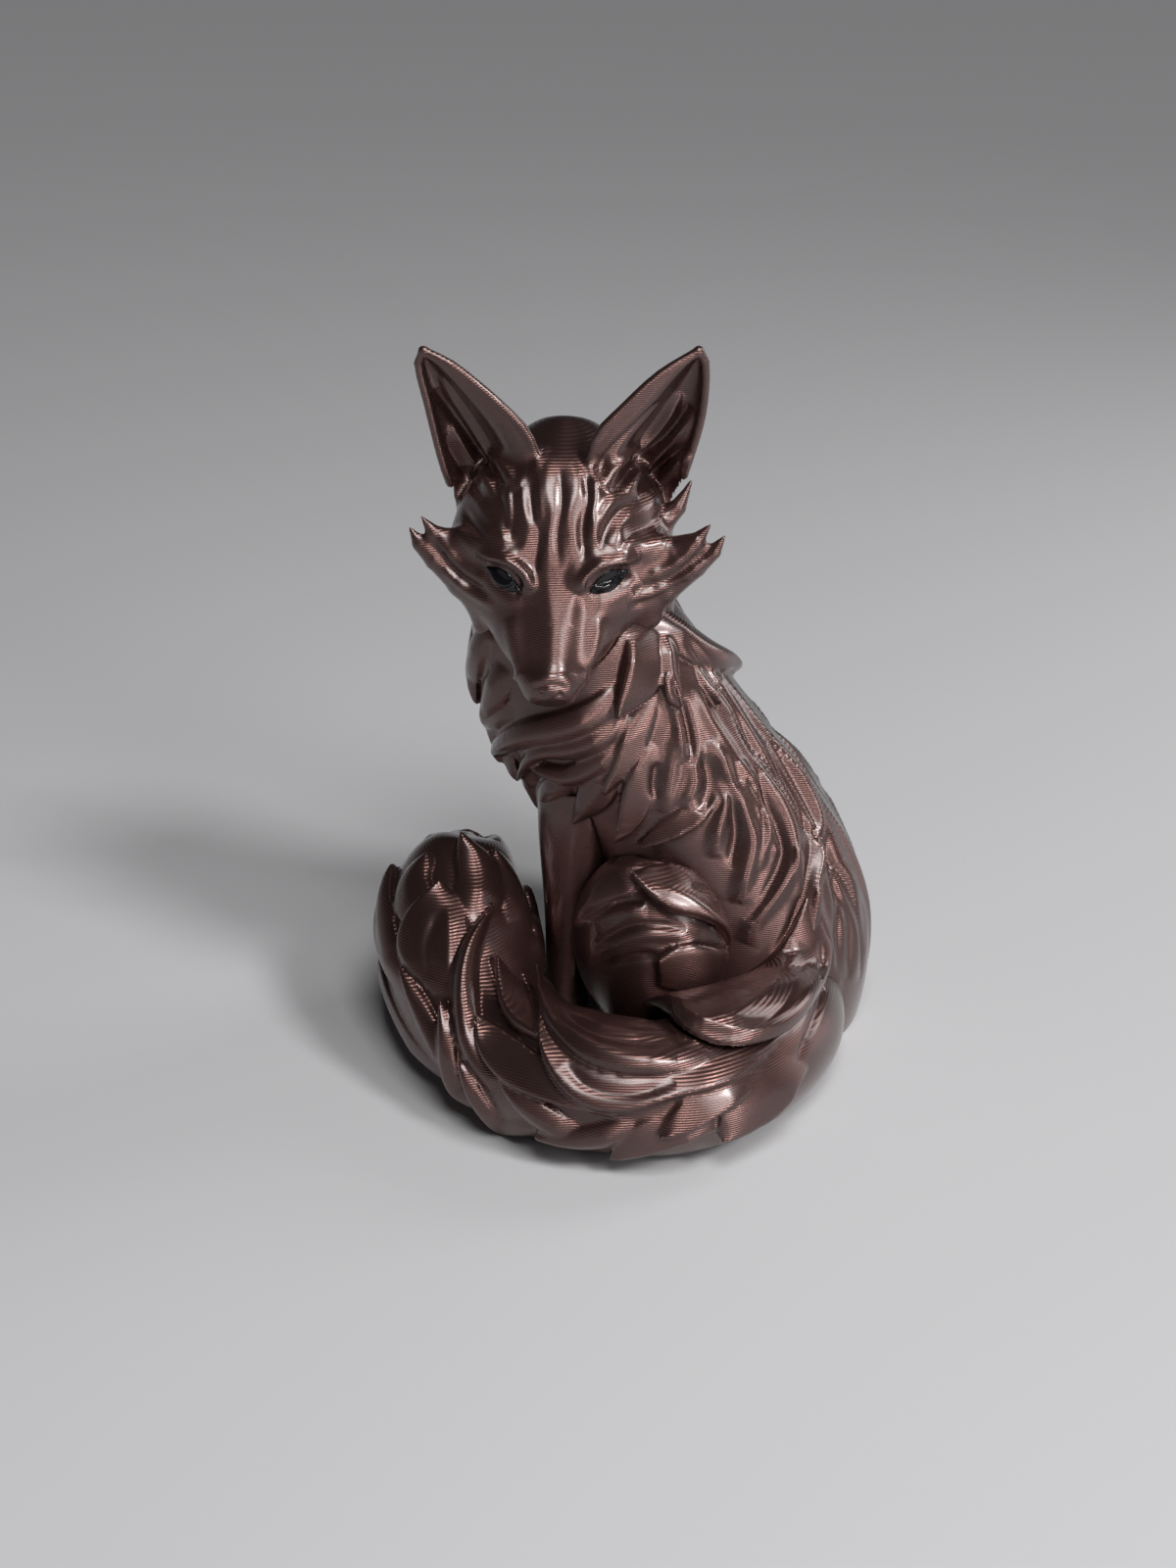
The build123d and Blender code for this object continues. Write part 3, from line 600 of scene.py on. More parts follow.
def make_head():
    """Skull, muzzle, ruff, ears and cheeks as one skin, before the strokes."""
    clay = Clay(HEAD_TOP - CLAY_LOW * MM, HEAD_TOP + CLAY_HIGH * MM, HEAD_VOXEL)
    for node in ("head", "nose", "left_eye", "right_eye"):
        clay.add_part(node_part(node), SOLID_SOFT)
    for places, radii, soft in (CROWN_FORM, EAR_LOCK):
        clay.add_tube([in_head(*place) for place in places], radii, soft)
    for turn, top, length in RUFF:
        clay.add_tube(ruff_lock(turn, top, length), RUFF_RADII, RUFF_SOFT)
    for ear in EARS:
        part, rims = ear_forms(ear)
        clay.add_part(part, EAR_SOFT)
        for rim in rims:
            places = rim[EAR_RIM_START::EAR_RIM_STEP]
            clay.add_tube(places, [EAR_RIM] * len(places), RIM_SOFT)
    for side, reach in CHEEK_REACHES:
        for places, radii, soft in CHEEK_FORMS:
            clay.add_tube([in_head(side * reach * s, f, c) for s, f, c in places], radii, soft)
        for places, radii, soft in FACE_FORMS:
            clay.add_tube([in_head(side * s, f, c) for s, f, c in places], radii, soft)
    return clay.skin("head_sculpt")


TAIL_BLADES = (
    Blade(((850, 960), (836, 1010), (801, 1055), (772, 1068), (740, 1074), (707, 1066), (676, 1049),
           (651, 1016)),
          ((825, 911), (803, 955), (771, 987), (722, 1010), (680, 1018), (651, 1016)), 2.4, 0.7, 0.5),
    Blade(((743, 1078), (707, 1090), (657, 1099), (600, 1088), (566, 1062), (545, 1031), (534, 993)),
          ((660, 1032), (610, 1032), (572, 1018), (550, 1002), (534, 993)), 1.6, 0.9, 0.2),
    Blade(((803, 1057), (745, 1105), (699, 1116), (638, 1133), (600, 1129), (571, 1107), (553, 1074),
           (551, 1039)),
          ((800, 1040), (743, 1072), (700, 1088), (657, 1094), (600, 1082), (570, 1058), (551, 1039)),
          1.4, 0.8),
    Blade(((600, 1100), (549, 1064), (524, 1052), (508, 1024), (501, 977)),
          ((605, 1085), (566, 1050), (545, 1025), (522, 1000), (501, 977)), 1.4, 0.9, 0.2),
    Blade(((640, 1142), (575, 1126), (524, 1107), (495, 1074), (493, 1039)),
          ((615, 1128), (575, 1100), (548, 1075), (520, 1056), (493, 1039)), 1.4, 0.9),
    Blade(((440, 1015), (411, 975), (415, 942), (434, 918), (454, 905)),
          ((470, 1018), (478, 985), (477, 944), (469, 920), (454, 905)), 1.3, 0.4),
    Blade(((775, 1106), (740, 1130), (705, 1148), (671, 1154)),
          ((765, 1085), (735, 1100), (700, 1118), (671, 1154)), 1.2, 0.7),
    Blade(((825, 1088), (795, 1128), (762, 1147), (730, 1156)),
          ((800, 1075), (765, 1100), (738, 1126), (730, 1156)), 1.2, 0.7),
    Blade(((735, 1150), (690, 1164), (652, 1172), (622, 1172)),
          ((725, 1130), (678, 1139), (643, 1150), (622, 1172)), 1.2, 0.5),
)
TAIL_LEAVES = (
    Leaf(((504, 1109), (486, 1079), (475, 1024), (478, 974), (501, 927)), 2.8, 1.5, 0.6, 0.2),
    Leaf(((470, 1110), (452, 1074), (432, 1030), (415, 985)), 3.0),
    Leaf(((500, 1135), (465, 1105), (458, 1050), (455, 1020)), 3.0),
    Leaf(((545, 1150), (515, 1148), (490, 1118), (476, 1080)), 3.0),
    Leaf(((600, 1160), (571, 1150), (536, 1124), (515, 1100)), 3.4),
    Leaf(((420, 1010), (400, 980), (390, 940), (398, 905)), 4.0, 1.1, 0.3),
    Leaf(((430, 940), (420, 905), (440, 872)), 5.0, 0.9, 0.2),
    Leaf(((480, 940), (490, 900), (470, 858)), 5.0, 1.0, 1.4),
    Leaf(((530, 950), (525, 915), (500, 868)), 5.0, 0.9, 0.4),
    Leaf(((548, 990), (552, 950), (540, 900)), 4.0, 0.9, 0.3),
    Leaf(((650, 1150), (600, 1160), (548, 1152)), 3.0),
)
TAIL_LEFT_LEAVES = (
    Leaf(((-12, 3), (-4, 5), (4, 9)), 4.2, 1.1),
    Leaf(((-6, 11), (2, 14), (9, 17)), 4.2, 1.1),
    Leaf(((-2, 4), (5, 6), (12, 11)), 4.4, 1.1),
    Leaf(((2, 9), (8, 12), (14, 16)), 4.2, 1.1),
    Leaf(((4, 2), (10, 5), (15, 10)), 4.0, 1.1),
    Leaf(((8, 7), (12, 11), (15, 15)), 3.6, 1.0),
)
TAIL_BACK_LEAVES = (
    Leaf(((-24, 6), (-21, 11), (-19, 16)), 4.0, 1.1),
    Leaf(((-20, 3), (-19, 8), (-18.5, 14)), 4.0, 1.1),
    Leaf(((-14, 4), (-15, 9), (-17, 15)), 4.0, 1.1),
    Leaf(((-10, 6), (-12, 11), (-15, 16)), 3.6, 1.1),
)
TAIL_TIPS = (
    (((-18.0, 7.5, 12.6), (-17.4, 11.6, 13.6), (-16.6, 14.8, 12.8), (-15.8, 17.2, 11.0)),
     (5.6, 3.8, 1.9, 0.2)),
    (((-19.4, 8.0, 11.4), (-20.4, 12.0, 11.8), (-21.2, 15.6, 10.4)), (5.0, 3.0, 0.2)),
    (((-17.8, 8.5, 9.4), (-18.2, 12.8, 8.8), (-18.8, 16.8, 6.8)), (4.8, 2.9, 0.2)),
)
TAIL_TOP_STROKES = (
    Stroke(((-22, 10), (-21.6, 12.5), (-21, 15)), 0.6, 0.25),
    Stroke(((-20, 10), (-20, 12.5), (-19.4, 15.5)), 0.5, -0.35),
    Stroke(((-18.2, 10.5), (-18, 13), (-17.4, 16)), 0.6, 0.25),
    Stroke(((-16.2, 10.5), (-16, 13), (-16, 16)), 0.5, -0.35),
    Stroke(((-14.4, 10), (-14.4, 12.5), (-15, 15)), 0.6, 0.25),
)
TAIL_STROKES = (
    Stroke(((838, 960), (838, 1016), (812, 1087)), 0.5, -0.4),
    Stroke(((815, 960), (790, 1005), (745, 1035), (690, 1040)), 0.9, 0.25),
    Stroke(((825, 990), (795, 1030), (750, 1055), (700, 1052)), 0.6, -0.2),
    Stroke(((700, 1060), (650, 1062), (600, 1050), (565, 1025)), 0.8, -0.25),
    Stroke(((690, 1078), (650, 1080), (605, 1066), (570, 1040)), 0.8, 0.25),
    Stroke(((690, 1105), (640, 1116), (600, 1108), (575, 1085)), 0.6, -0.25),
    Stroke(((440, 1000), (436, 965), (448, 930)), 0.7, -0.2),
    Stroke(((456, 1000), (458, 965), (458, 925)), 0.7, 0.2),
)

TORSO_BLADES = (
    Blade(((640, 650), (633, 682), (627, 712), (628, 731)), ((668, 640), (676, 665), (668, 705), (628, 731)),
          1.5, 0.8, 0.4),
    Blade(((637, 735), (627, 770), (618, 795), (622, 804)), ((672, 705), (664, 745), (648, 780), (622, 804)),
          1.3, 0.8),
    Blade(((664, 757), (646, 780), (636, 800), (632, 835), (630, 857)),
          ((678, 765), (670, 784), (666, 815), (652, 842), (630, 857)), 1.2, 0.7),
    Blade(((735, 815), (712, 842), (680, 856), (650, 860)), ((728, 800), (705, 820), (675, 838), (650, 860)),
          1.1, 0.6),
    Blade(((735, 690), (728, 708), (730, 722)), ((700, 645), (712, 690), (730, 722)), 1.0, 0.6),
)
TORSO_LEAVES = (
    Leaf(((668, 626), (710, 662), (753, 685)), 4.4, 1.3, 0.9),
    Leaf(((678, 640), (680, 686), (692, 724)), 2.6),
    Leaf(((636, 704), (608, 727), (575, 740), (540, 745), (512, 760), (502, 786)), 3.4, 1.3, 0.6, 0.5),
    Leaf(((640, 730), (613, 750), (585, 760), (560, 760), (545, 768), (538, 790)), 3.0, 1.3, 0.6, 0.3),
    Leaf(((638, 752), (612, 776), (585, 789), (560, 782), (546, 774)), 2.8, 1.2, 0.5, 0.2),
    Leaf(((612, 775), (612, 800), (590, 834)), 4.0, 1.3, 0.7),
    Leaf(((520, 720), (498, 745), (490, 778)), 3.0),
    Leaf(((505, 760), (508, 785), (524, 800)), 3.6, 1.2, 0.8),
    Leaf(((540, 785), (534, 815), (546, 838)), 3.4, 1.2, 0.8),
    Leaf(((580, 790), (562, 812), (552, 838)), 3.2, 1.2, 0.8),
    Leaf(((500, 640), (488, 680), (486, 720)), 4.0),
    Leaf(((515, 680), (505, 712), (500, 740)), 3.4),
)
TORSO_STROKES = (
    Stroke(((775, 729), (802, 770), (830, 816), (851, 858), (871, 913), (876, 959), (871, 1005)), 1.0, 0.35),
    Stroke(((772, 738), (800, 778), (825, 822), (845, 865), (855, 915), (855, 960), (850, 1005)), 0.7, -0.4),
    Stroke(((784, 752), (816, 798), (835, 835), (839, 871), (830, 913), (828, 959), (835, 1005)), 0.6, 0.6),
    Stroke(((778, 760), (806, 802), (824, 838), (828, 871), (820, 908), (808, 945), (790, 975)), 0.6, -0.5),
    Stroke(((772, 779), (798, 821), (809, 858), (802, 894), (775, 931), (759, 963)), 1.1, 0.75),
    Stroke(((772, 784), (780, 816), (793, 844), (798, 876), (784, 908), (762, 940)), 0.6, -0.6),
    Stroke(((747, 798), (759, 830), (768, 858), (760, 894), (752, 922)), 1.0, 0.7),
    Stroke(((737, 790), (747, 820), (752, 850), (744, 885)), 0.6, -0.6),
    Stroke(((724, 754), (738, 779), (743, 807), (733, 844), (728, 875)), 0.8, 0.7),
    Stroke(((716, 770), (724, 800), (716, 830)), 0.9, -0.5),
    Stroke(((706, 760), (710, 795), (698, 825)), 0.9, 0.4),
    Stroke(((678, 687), (687, 720), (694, 752), (697, 779)), 0.6, 0.6),
    Stroke(((685, 690), (697, 720), (704, 752), (706, 782)), 0.5, -0.6),
    Stroke(((710, 700), (725, 735), (745, 765), (765, 800)), 0.8, 0.4),
    Stroke(((700, 650), (730, 695), (755, 735), (774, 772)), 0.5, -0.35),
    Stroke(((735, 700), (770, 755), (795, 792)), 0.8, 0.3),
    Stroke(((755, 775), (775, 810), (782, 850), (775, 890)), 0.5, 0.35),
    Stroke(((671, 778), (668, 800), (669, 814)), 0.5, -0.5),
    Stroke(((689, 740), (686, 780), (676, 830)), 0.8, 0.4),
    Stroke(((860, 880), (882, 930), (884, 990)), 0.7, 0.3),
    Stroke(((846, 885), (866, 940), (866, 1000)), 0.6, -0.3),
    Stroke(((500, 655), (492, 690), (490, 730)), 0.5, -0.4),
)

TORSO_BACK_LEAVES = (
    Leaf(((-13, 53), (-12.5, 48), (-11, 43)), 4.6),
    Leaf(((-8, 53), (-7, 47), (-5, 42)), 4.8),
    Leaf(((-3, 52), (-1.5, 47), (1, 41)), 4.8),
    Leaf(((2, 50), (4, 45), (6.5, 39)), 4.6),
    Leaf(((-11, 46), (-9.5, 40), (-7, 34)), 4.6),
    Leaf(((-6, 45), (-4, 39), (-1, 33)), 4.8),
    Leaf(((0, 44), (2.5, 38), (5.5, 32)), 4.6),
    Leaf(((5, 42), (8, 36), (11, 30)), 4.4),
    Leaf(((-5, 37), (-2, 31), (1, 25)), 4.6),
    Leaf(((2, 35), (5.5, 29), (8.5, 22)), 4.4),
)
TORSO_BACK_STROKES = (
    Stroke(((9, 38), (14, 29), (18, 18), (19.5, 6)), 0.9, 0.5),
    Stroke(((7, 35), (11.5, 27), (15.5, 17), (17, 5)), 0.6, -0.5),
    Stroke(((5, 30), (9, 23), (13, 14), (14.5, 5)), 0.9, 0.5),
    Stroke(((12, 40), (17, 30), (20.5, 18), (21.5, 7)), 0.6, -0.4),
)
TORSO_RUMP_STROKES = (
    Stroke(((1, 34), (-1, 24), (-1.5, 14), (-1, 6)), 0.8, 0.4),
    Stroke(((4, 38), (2.5, 28), (2.5, 16), (3, 6)), 0.6, -0.45),
    Stroke(((7, 42), (6, 30), (6.5, 18), (6, 7)), 0.9, 0.45),
    Stroke(((10, 40), (10, 29), (9.5, 16), (10, 6)), 0.6, -0.45),
    Stroke(((13, 42), (14, 30), (13, 18), (14, 7)), 0.9, 0.45),
    Stroke(((16, 38), (17, 27), (16.5, 15), (17, 6)), 0.6, -0.45),
)

HAUNCH_BLADES = (
    Blade(((750, 972), (733, 951), (711, 938), (681, 931), (660, 914), (648, 896)),
          ((752, 915), (728, 893), (690, 886), (665, 888), (648, 896)), 1.9, 0.8, 0.4),
    Blade(((750, 970), (715, 962), (690, 964), (671, 974)),
          ((750, 1010), (715, 1012), (690, 1010), (672, 1004)), 1.0, 0.3),
)
HAUNCH_LEAVES = (
    Leaf(((660, 880), (620, 905), (590, 945)), 5.0, 0.9, 0.2),
)
HAUNCH_STROKES = (
    Stroke(((706, 902), (725, 908), (745, 917)), 0.4, -0.5),
    Stroke(((592, 938), (625, 922), (657, 919)), 0.5, -0.4),
    Stroke(((596, 950), (628, 932), (660, 929)), 0.7, 0.35),
    Stroke(((603, 965), (641, 946), (673, 944), (700, 949)), 0.45, -0.4),
    Stroke(((610, 978), (645, 956), (680, 953), (715, 958)), 0.8, 0.35),
    Stroke(((614, 990), (645, 976), (672, 974)), 0.45, -0.35),
    Stroke(((668, 905), (700, 915), (735, 938)), 0.7, 0.25),
)

HEAD_STROKES = (
    # Forehead
    Stroke(((560, 462), (557, 495), (563, 530), (556, 575), (560, 640)), 0.7, 0.19),
    Stroke(((584, 466), (589, 496), (581, 528), (587, 572), (580, 640)), 0.8, 0.19),
    Stroke(((571, 478), (573, 515), (568, 545), (571, 580)), 0.4, -0.19),
    Stroke(((547, 476), (543, 512), (550, 548), (546, 585)), 0.45, -0.25),
    Stroke(((537, 470), (531, 505), (537, 540), (533, 568)), 0.6, 0.22),
    Stroke(((597, 484), (600, 512), (594, 540), (597, 572)), 0.4, -0.28),
    Stroke(((524, 490), (525, 520), (520, 552)), 0.5, -0.25),
    Stroke(((606, 478), (610, 503), (604, 532), (608, 560)), 0.5, 0.22),
    Stroke(((652, 494), (627, 511), (614, 527), (600, 557)), 0.6, 0.31),
    Stroke(((660, 503), (634, 520), (620, 537), (611, 562)), 0.4, -0.28),
    Stroke(((677, 494), (660, 519), (637, 532), (622, 557)), 0.6, 0.28),
    Stroke(((684, 505), (668, 530), (645, 544), (632, 562)), 0.4, -0.25),
    Stroke(((690, 527), (672, 553), (650, 566)), 0.7, 0.22),
    Stroke(((482, 505), (497, 525), (510, 545), (516, 562)), 0.6, 0.25),
    Stroke(((472, 520), (486, 540), (500, 556)), 0.45, -0.25),
    Stroke(((466, 535), (478, 556), (490, 568)), 0.6, 0.22),
    Stroke(((503, 490), (512, 515), (517, 545)), 0.45, -0.25),
    Stroke(((550, 462), (546, 490), (550, 518), (545, 548)), 0.6, 0.25),
    Stroke(((600, 464), (606, 488), (602, 514), (606, 542)), 0.6, 0.25),
    # Brows, sockets, lids and the corners of the eyes
    Stroke(((588, 606), (599, 588), (612, 577), (630, 571), (654, 568)), 0.55, 0.75),
    Stroke(((545, 604), (535, 586), (523, 575), (508, 569), (486, 564)), 0.55, 0.75),
    Stroke(((600, 604), (612, 597), (626, 592), (643, 582)), 0.8, -0.7),
    Stroke(((533, 602), (521, 596), (509, 589), (497, 578)), 0.8, -0.7),
    Stroke(((600, 613), (616, 614), (632, 607), (652, 590)), 0.7, 0.15),
    Stroke(((533, 611), (519, 612), (505, 603), (488, 586)), 0.7, 0.15),
    Stroke(((598, 602), (597, 630), (592, 665), (586, 694)), 1.2, -0.3),
    Stroke(((535, 600), (536, 630), (539, 665), (545, 694)), 1.2, -0.3),
    # Muzzle
    Stroke(((571, 545), (568, 600), (565, 650), (563, 692)), 1.4, 0.3),
    Stroke(((612, 630), (608, 664), (600, 690)), 0.9, 0.25),
    Stroke(((518, 630), (524, 664), (530, 690)), 0.9, 0.25),
    Stroke(((543, 703), (562, 699), (581, 703)), 0.4, -0.25),
    Stroke(((550, 708), (553, 710), (556, 708)), 0.4, -0.3),
    Stroke(((569, 708), (572, 710), (575, 708)), 0.4, -0.3),
    Stroke(((588, 712), (608, 692), (628, 662), (650, 636)), 0.5, -0.5),
    # Cheeks
    Stroke(((645, 604), (680, 592), (712, 570), (732, 554)), 0.5, -0.35),
    Stroke(((640, 620), (668, 610), (700, 590)), 0.5, -0.3),
    Stroke(((655, 592), (690, 575), (716, 550)), 0.6, 0.35),
    Stroke(((642, 613), (680, 600), (720, 572)), 0.5, 0.3),
    Stroke(((500, 606), (466, 586), (440, 553)), 0.5, -0.35),
    Stroke(((495, 595), (466, 572), (446, 550)), 0.6, 0.3),
    Stroke(((505, 620), (476, 602), (452, 580)), 0.5, 0.3),
    # Ears
    Stroke(((614, 500), (634, 469), (668, 438), (696, 400)), 0.6, 0.8),
    Stroke(((625, 505), (648, 474), (680, 446), (704, 412)), 0.45, -0.7),
    Stroke(((637, 503), (660, 474), (690, 446), (708, 424)), 0.55, 0.75),
    Stroke(((650, 503), (672, 478), (700, 452)), 0.45, -0.6),
    Stroke(((664, 502), (684, 482), (704, 464)), 0.5, 0.6),
    Stroke(((604, 492), (622, 462), (650, 434), (685, 398)), 0.5, -0.4),
    Stroke(((530, 500), (506, 468), (474, 418), (448, 382)), 0.7, 0.7),
    Stroke(((517, 500), (494, 470), (464, 424), (444, 396)), 0.5, -0.6),
    Stroke(((505, 505), (482, 470), (460, 432)), 0.55, 0.5),
    Stroke(((493, 510), (472, 480), (452, 446)), 0.5, -0.4),
)

HEAD_BACK_STROKES = (
    Stroke(((-13, 63), (-15.5, 57), (-16, 50)), 0.6, -0.5),
    Stroke(((-11, 65), (-13, 59), (-13.5, 52)), 0.7, 0.4),
    Stroke(((-9.5, 66), (-11, 60), (-11, 51)), 0.5, -0.5),
    Stroke(((-8, 66), (-8.5, 60), (-8.5, 53)), 0.7, 0.4),
    Stroke(((-6.5, 66), (-6, 60), (-6, 51)), 0.5, -0.5),
    Stroke(((-5, 66), (-3.5, 60), (-3, 52)), 0.7, 0.4),
    Stroke(((-3.5, 65), (-1, 59), (-0.5, 51)), 0.5, -0.5),
    Stroke(((-1.5, 63), (1.5, 57), (2, 50)), 0.6, 0.4),
)

# Eyes, by lower and upper lid from the inner to the outer corner
EYES = {
    "left": Blade(((601, 605), (614, 606), (629, 600), (643, 582)),
                  ((601, 605), (609, 591), (624, 581), (643, 582))),
    "right": Blade(((532, 603), (521, 604), (508, 598), (496, 578)),
                   ((532, 603), (524, 590), (511, 580), (496, 578))),
}
EYE_BULGE, EYE_EDGE, EYE_DEPTH = 0.35, 0.08, 0.5


def make_eye(side, tree):
    """A low glossy dome between the lids, on the finished skin."""
    eye = EYES[side]
    lids = [curve(lid, LEAF_LENGTHS) for lid in (eye.lip, eye.other)]
    share, across, pixels = sheet(*lids, LEAF_WIDTHS)
    spots = cast("photo", pixels.reshape(-1, 2), tree)
    outward = normals_at(spots, tree).mean(0)
    spots = spots.reshape(LEAF_LENGTHS, LEAF_WIDTHS, 3)
    dome = EYE_BULGE * np.sqrt(np.clip(4 * share * (1 - share), 0, 1)) * (1 - (2 * across - 1) ** 2)
    top = spots + outward * ((dome + EYE_EDGE) * MM)[..., None]
    under = spots - outward * (EYE_DEPTH * MM)
    return remeshed(side + "_eye_dome", [closed_part(top, under)], EYE_VOXEL, EYE_SMOOTH)


def dress(name, node, locks=(), strokes=(), bed=(), extra=(), both_sides=False):
    """One piece: a solid and its locks, laid on it and on the bed, in one skin, and then the strokes."""
    tree = tree_of(node, *bed)
    parts = [node_part(node)]
    parts += [leaf_mesh(lock, "photo", tree) for lock in locks]
    parts += extra
    piece = remeshed(name, parts)
    press(piece, "photo", strokes, both_sides)
    return piece


# Heel of a paw: way in from its end, height and radius, as shares of half the paw's height
HEEL_ROWS = ((0, 0.7, 0.1), (0.4, 0.8, 0.7), (1, 1, 1))

# Toes: radius as a share of the heel's, step back of the outer ones in mm, sizes at root and end
TOE_SHARE, TOE_STEP = 0.66, 0.7
TOE_ROOT_PLACE, TOE_ROOT = 0.35, 0.85
TOE_END_HEIGHT, TOE_END = 0.7, 0.3


def make_paw(node):
    """A paw of three toes side by side, which point to the low end of x, inside the box of its solid."""
    low, high = [np.array(corner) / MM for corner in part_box(node)]
    length, width, height = high - low
    middle = 0.5 * (low[1] + high[1])
    big = 0.5 * height
    small = TOE_SHARE * big
    toes = []
    for side in (-1, 0, 1):
        heel = middle + side * (0.5 * width - big)
        toe = middle + side * (0.5 * width - small)
        tip = low[0] + TOE_STEP * abs(side)
        places = [(high[0] - way_in * big, heel, rise * big) for way_in, rise, _ in HEEL_ROWS]
        places += [(tip + TOE_ROOT_PLACE * length, toe, TOE_ROOT * big), (tip + small, toe, small),
                   (tip, toe, TOE_END_HEIGHT * small)]
        radii = [radius * big for _, _, radius in HEEL_ROWS]
        radii += [TOE_ROOT * big, small, TOE_END * small]
        toes.append(tube_part(places, radii))
    return remeshed(node + "_sculpt", toes, VOXEL, PAW_SMOOTH)


def finish_piece(piece, material, slot, *nodes):
    """Stand the piece on the floor, give it its finish, and hide the solids it stands for."""
    points = points_of(piece.data)
    points[:, 2] = np.maximum(points[:, 2], 0)
    piece.data.vertices.foreach_set("co", points.ravel())
    piece.data.materials.clear()
    piece.data.materials.append(material)
    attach(piece, "root")
    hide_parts(*nodes)


# Print's layers, in mm
LAYER_PITCH, LAYER_DEPTH = 0.21, 0.04


def mottled(name, scale, detail, dark, pale):
    """A new material whose colour drifts between two tones, and the coordinates that it drifts over."""
    material = bpy.data.materials.new(name)
    material.use_nodes = True
    nodes = material.node_tree.nodes
    link = material.node_tree.links.new
    place = nodes.new("ShaderNodeTexCoord")
    cloud = nodes.new("ShaderNodeTexNoise")
    cloud.inputs["Scale"].default_value = scale
    cloud.inputs["Detail"].default_value = detail
    link(place.outputs["Object"], cloud.inputs["Vector"])
    tint = nodes.new("ShaderNodeValToRGB")
    tint.color_ramp.elements[0].color = dark
    tint.color_ramp.elements[1].color = pale
    link(cloud.outputs["Fac"], tint.inputs["Fac"])
    link(tint.outputs["Color"], nodes["Principled BSDF"].inputs["Base Color"])
    return material, place


def silk_brown():
    """Dark brown silk print: a broad sheen, and layer lines every fifth of a millimetre of height."""
    dark, pale = (0.094, 0.0445, 0.0385, 1), (0.155, 0.081, 0.071, 1)
    material, place = mottled("silk_brown", 90.0, 3.0, dark, pale)
    nodes = material.node_tree.nodes
    link = material.node_tree.links.new
    shader = nodes["Principled BSDF"]
    apart = nodes.new("ShaderNodeSeparateXYZ")
    link(place.outputs["Object"], apart.inputs["Vector"])
    layers = nodes.new("ShaderNodeMath")
    layers.operation = "MULTIPLY"
    layers.inputs[1].default_value = 2 * math.pi / (LAYER_PITCH * MM)
    link(apart.outputs["Z"], layers.inputs[0])
    wave = nodes.new("ShaderNodeMath")
    wave.operation = "SINE"
    link(layers.outputs[0], wave.inputs[0])
    bump = nodes.new("ShaderNodeBump")
    bump.inputs["Strength"].default_value = 0.5
    bump.inputs["Distance"].default_value = LAYER_DEPTH * MM
    link(wave.outputs[0], bump.inputs["Height"])
    link(bump.outputs["Normal"], shader.inputs["Normal"])
    skin = nodes.new("ShaderNodeNewGeometry")
    lines = nodes.new("ShaderNodeVectorMath")
    lines.operation = "CROSS_PRODUCT"
    lines.inputs[1].default_value = (0, 0, 1)
    link(skin.outputs["Normal"], lines.inputs[0])
    link(lines.outputs["Vector"], shader.inputs["Tangent"])
    shader.inputs["Anisotropic"].default_value = 0.6
    shader.inputs["Anisotropic Rotation"].default_value = 0.25
    shader.inputs["Metallic"].default_value = 0.88
    shader.inputs["Roughness"].default_value = 0.33
    shader.inputs["Specular IOR Level"].default_value = 1.0
    shader.inputs["Coat Weight"].default_value = 0.9
    shader.inputs["Coat Roughness"].default_value = 0.22
    return material


def eye_black():
    """Glossy black paint with a faint mottling."""
    material, _ = mottled("eye_black", 400.0, 2.0, (0.002, 0.002, 0.003, 1), (0.008, 0.008, 0.01, 1))
    shader = material.node_tree.nodes["Principled BSDF"]
    shader.inputs["Roughness"].default_value = 0.1
    shader.inputs["Specular IOR Level"].default_value = 0.4
    return material


def make_camera():
    data = bpy.data.cameras.new("photo_camera")
    data.sensor_fit = "AUTO"
    data.sensor_width = SENSOR
    data.lens = SENSOR * FOCAL_PIXELS / PHOTO_HEIGHT
    data.clip_start = 10 * MM
    camera = bpy.data.objects.new("photo_camera", data)
    camera.location = CAMERA_PLACE
    camera.rotation_euler = (math.pi / 2 - CAMERA_PITCH, 0, 0)
    bpy.context.scene.collection.objects.link(camera)
    bpy.context.scene.camera = camera


def hang(light, place, way):
    """Put a lamp in its place, to shine one way."""
    lamp = bpy.data.objects.new(light.name, light)
    lamp.location = place
    lamp.rotation_euler = way.to_track_quat("-Z", "Y").to_euler()
    bpy.context.scene.collection.objects.link(lamp)


def make_room():
    """A dim room with a pale band round the horizon."""
    world = bpy.data.worlds.new("room")
    world.use_nodes = True
    nodes = world.node_tree.nodes
    link = world.node_tree.links.new
    place = nodes.new("ShaderNodeTexCoord")
    apart = nodes.new("ShaderNodeSeparateXYZ")
    band = nodes.new("ShaderNodeValToRGB")
    band.color_ramp.elements[0].position = 0.1
    band.color_ramp.elements[0].color = (0.18, 0.18, 0.19, 1)
    band.color_ramp.elements[1].position = 0.3
    band.color_ramp.elements[1].color = (0.02, 0.02, 0.022, 1)
    link(place.outputs["Generated"], apart.inputs["Vector"])
    link(apart.outputs["Z"], band.inputs["Fac"])
    link(band.outputs["Color"], nodes["Background"].inputs["Color"])
    return world


# Floor's half side in metres, the sun's way, and the soft lamps by place, size and power
FLOOR_REACH = 3.0
SUN_WAY = Vector((-0.6, 0.42, -0.68))
LAMP_TARGET = Vector((0, 0, 0.035))
LAMPS = (
    ("key", (0.04, -0.2, 0.36), (0.14, 0.16), 0.88),
    ("rim", (0.26, 0.12, 0.18), (0.1, 0.2), 0.27),
    ("front", (0.2, -0.24, 0.2), (0.1, 0.2), 0.31),
)


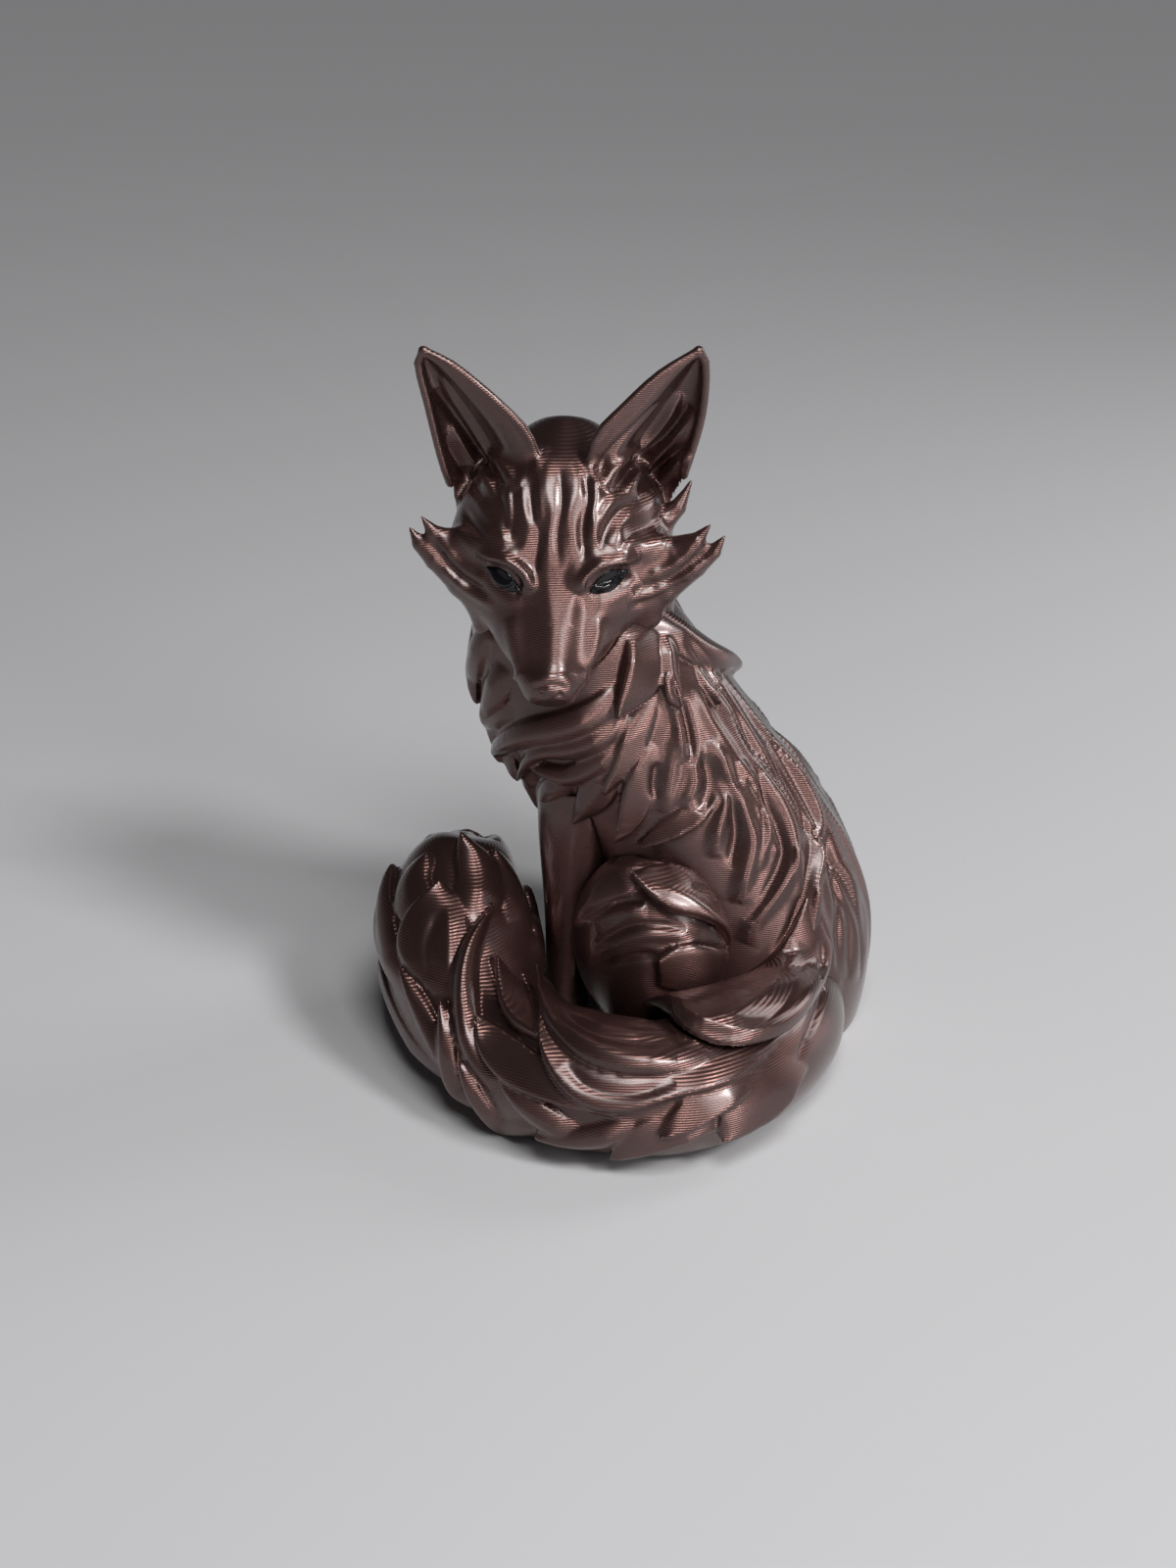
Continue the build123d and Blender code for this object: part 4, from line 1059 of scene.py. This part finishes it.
def make_studio():
    """A pale floor under soft lamps."""
    corners = np.array([(-1, -1, 0), (1, -1, 0), (1, 1, 0), (-1, 1, 0)]) * FLOOR_REACH
    floor = mesh_object("floor", corners, [(0, 1, 2, 3)])
    paint = bpy.data.materials.new("floor_paint")
    paint.use_nodes = True
    shader = paint.node_tree.nodes["Principled BSDF"]
    shader.inputs["Base Color"].default_value = (0.52, 0.52, 0.53, 1)
    shader.inputs["Roughness"].default_value = 0.9
    floor.data.materials.append(paint)
    bpy.context.scene.world = make_room()
    sun = bpy.data.lights.new("window", "SUN")
    sun.energy = 1.5
    sun.angle = math.radians(12)
    hang(sun, (0, 0, 0), SUN_WAY)
    for name, place, size, power in LAMPS:
        light = bpy.data.lights.new(name, "AREA")
        light.shape = "RECTANGLE"
        light.size, light.size_y = size
        light.energy = power
        hang(light, place, LAMP_TARGET - Vector(place))


brown = silk_brown()
black = eye_black()

# Torso. Its first leaf lies on the nape, so it isn't mirrored
torso_locks = TORSO_BLADES + TORSO_LEAVES
mirror_locks = TORSO_BLADES + TORSO_LEAVES[1:]
torso_tree = tree_of("torso")
far_torso = [mirrored(leaf_mesh(lock, "photo", torso_tree)) for lock in mirror_locks]
far_torso += [leaf_mesh(leaf, "back", torso_tree) for leaf in TORSO_BACK_LEAVES]
torso = dress("torso_fur", "torso", torso_locks, TORSO_STROKES, extra=far_torso, both_sides=True)
press(torso, "back", TORSO_BACK_STROKES)
press(torso, "right", TORSO_RUMP_STROKES)
finish_piece(torso, brown, "silk_brown", "torso", "left_mane_locks", "right_mane_locks", "chest_locks",
             "left_flank_locks", "right_flank_locks", "back_locks")

# Brush. Its locks run on over the torso
tail_tree = tree_of("tail")
far_tail = [leaf_mesh(leaf, "left", tail_tree) for leaf in TAIL_LEFT_LEAVES]
far_tail += [leaf_mesh(leaf, "back", tail_tree) for leaf in TAIL_BACK_LEAVES]
far_tail += [tube_part(*tip) for tip in TAIL_TIPS]
tail = dress("tail_brush", "tail", TAIL_BLADES + TAIL_LEAVES, TAIL_STROKES, ["torso"], far_tail)
press(tail, "top", TAIL_TOP_STROKES)
finish_piece(tail, brown, "silk_brown", "tail", "tail_root_locks", "tail_upper_locks", "tail_outer_locks",
             "tail_lower_locks", "tail_inner_locks")

# Haunches. The far one mirrors the near one, but for its lower blade
haunch = dress("left_haunch_fur", "left_haunch", HAUNCH_BLADES + HAUNCH_LEAVES, HAUNCH_STROKES)
finish_piece(haunch, brown, "silk_brown", "left_haunch", "left_haunch_locks")
haunch_tree = tree_of("left_haunch")
mirror_locks = HAUNCH_BLADES[:1] + HAUNCH_LEAVES
far_locks = [mirrored(leaf_mesh(lock, "photo", haunch_tree)) for lock in mirror_locks]
far_haunch = dress("right_haunch_fur", "right_haunch", extra=far_locks)
press(far_haunch, "photo", HAUNCH_STROKES, True, haunch_tree)
finish_piece(far_haunch, brown, "silk_brown", "right_haunch", "right_haunch_locks")

# Head
head = make_head()
press(head, "photo", HEAD_STROKES)
press(head, "back", HEAD_BACK_STROKES)
head_tree = skin_tree(head)
finish_piece(head, brown, "silk_brown", "head", "nose", "left_cheek_tuft", "right_cheek_tuft", "left_ear",
             "right_ear", "left_ear_tuft", "right_ear_tuft")

# Legs, paws and eyes
for side in ("left", "right"):
    leg = dress(side + "_foreleg_sculpt", side + "_foreleg")
    finish_piece(leg, brown, "silk_brown", side + "_foreleg")
    for paw in (side + "_forepaw", side + "_hind_paw"):
        finish_piece(make_paw(paw), brown, "silk_brown", paw)
    eye = make_eye(side, head_tree)
    finish_piece(eye, black, "eye_black", side + "_eye")

make_camera()
make_studio()
bpy.context.scene.view_settings.view_transform = "Standard"
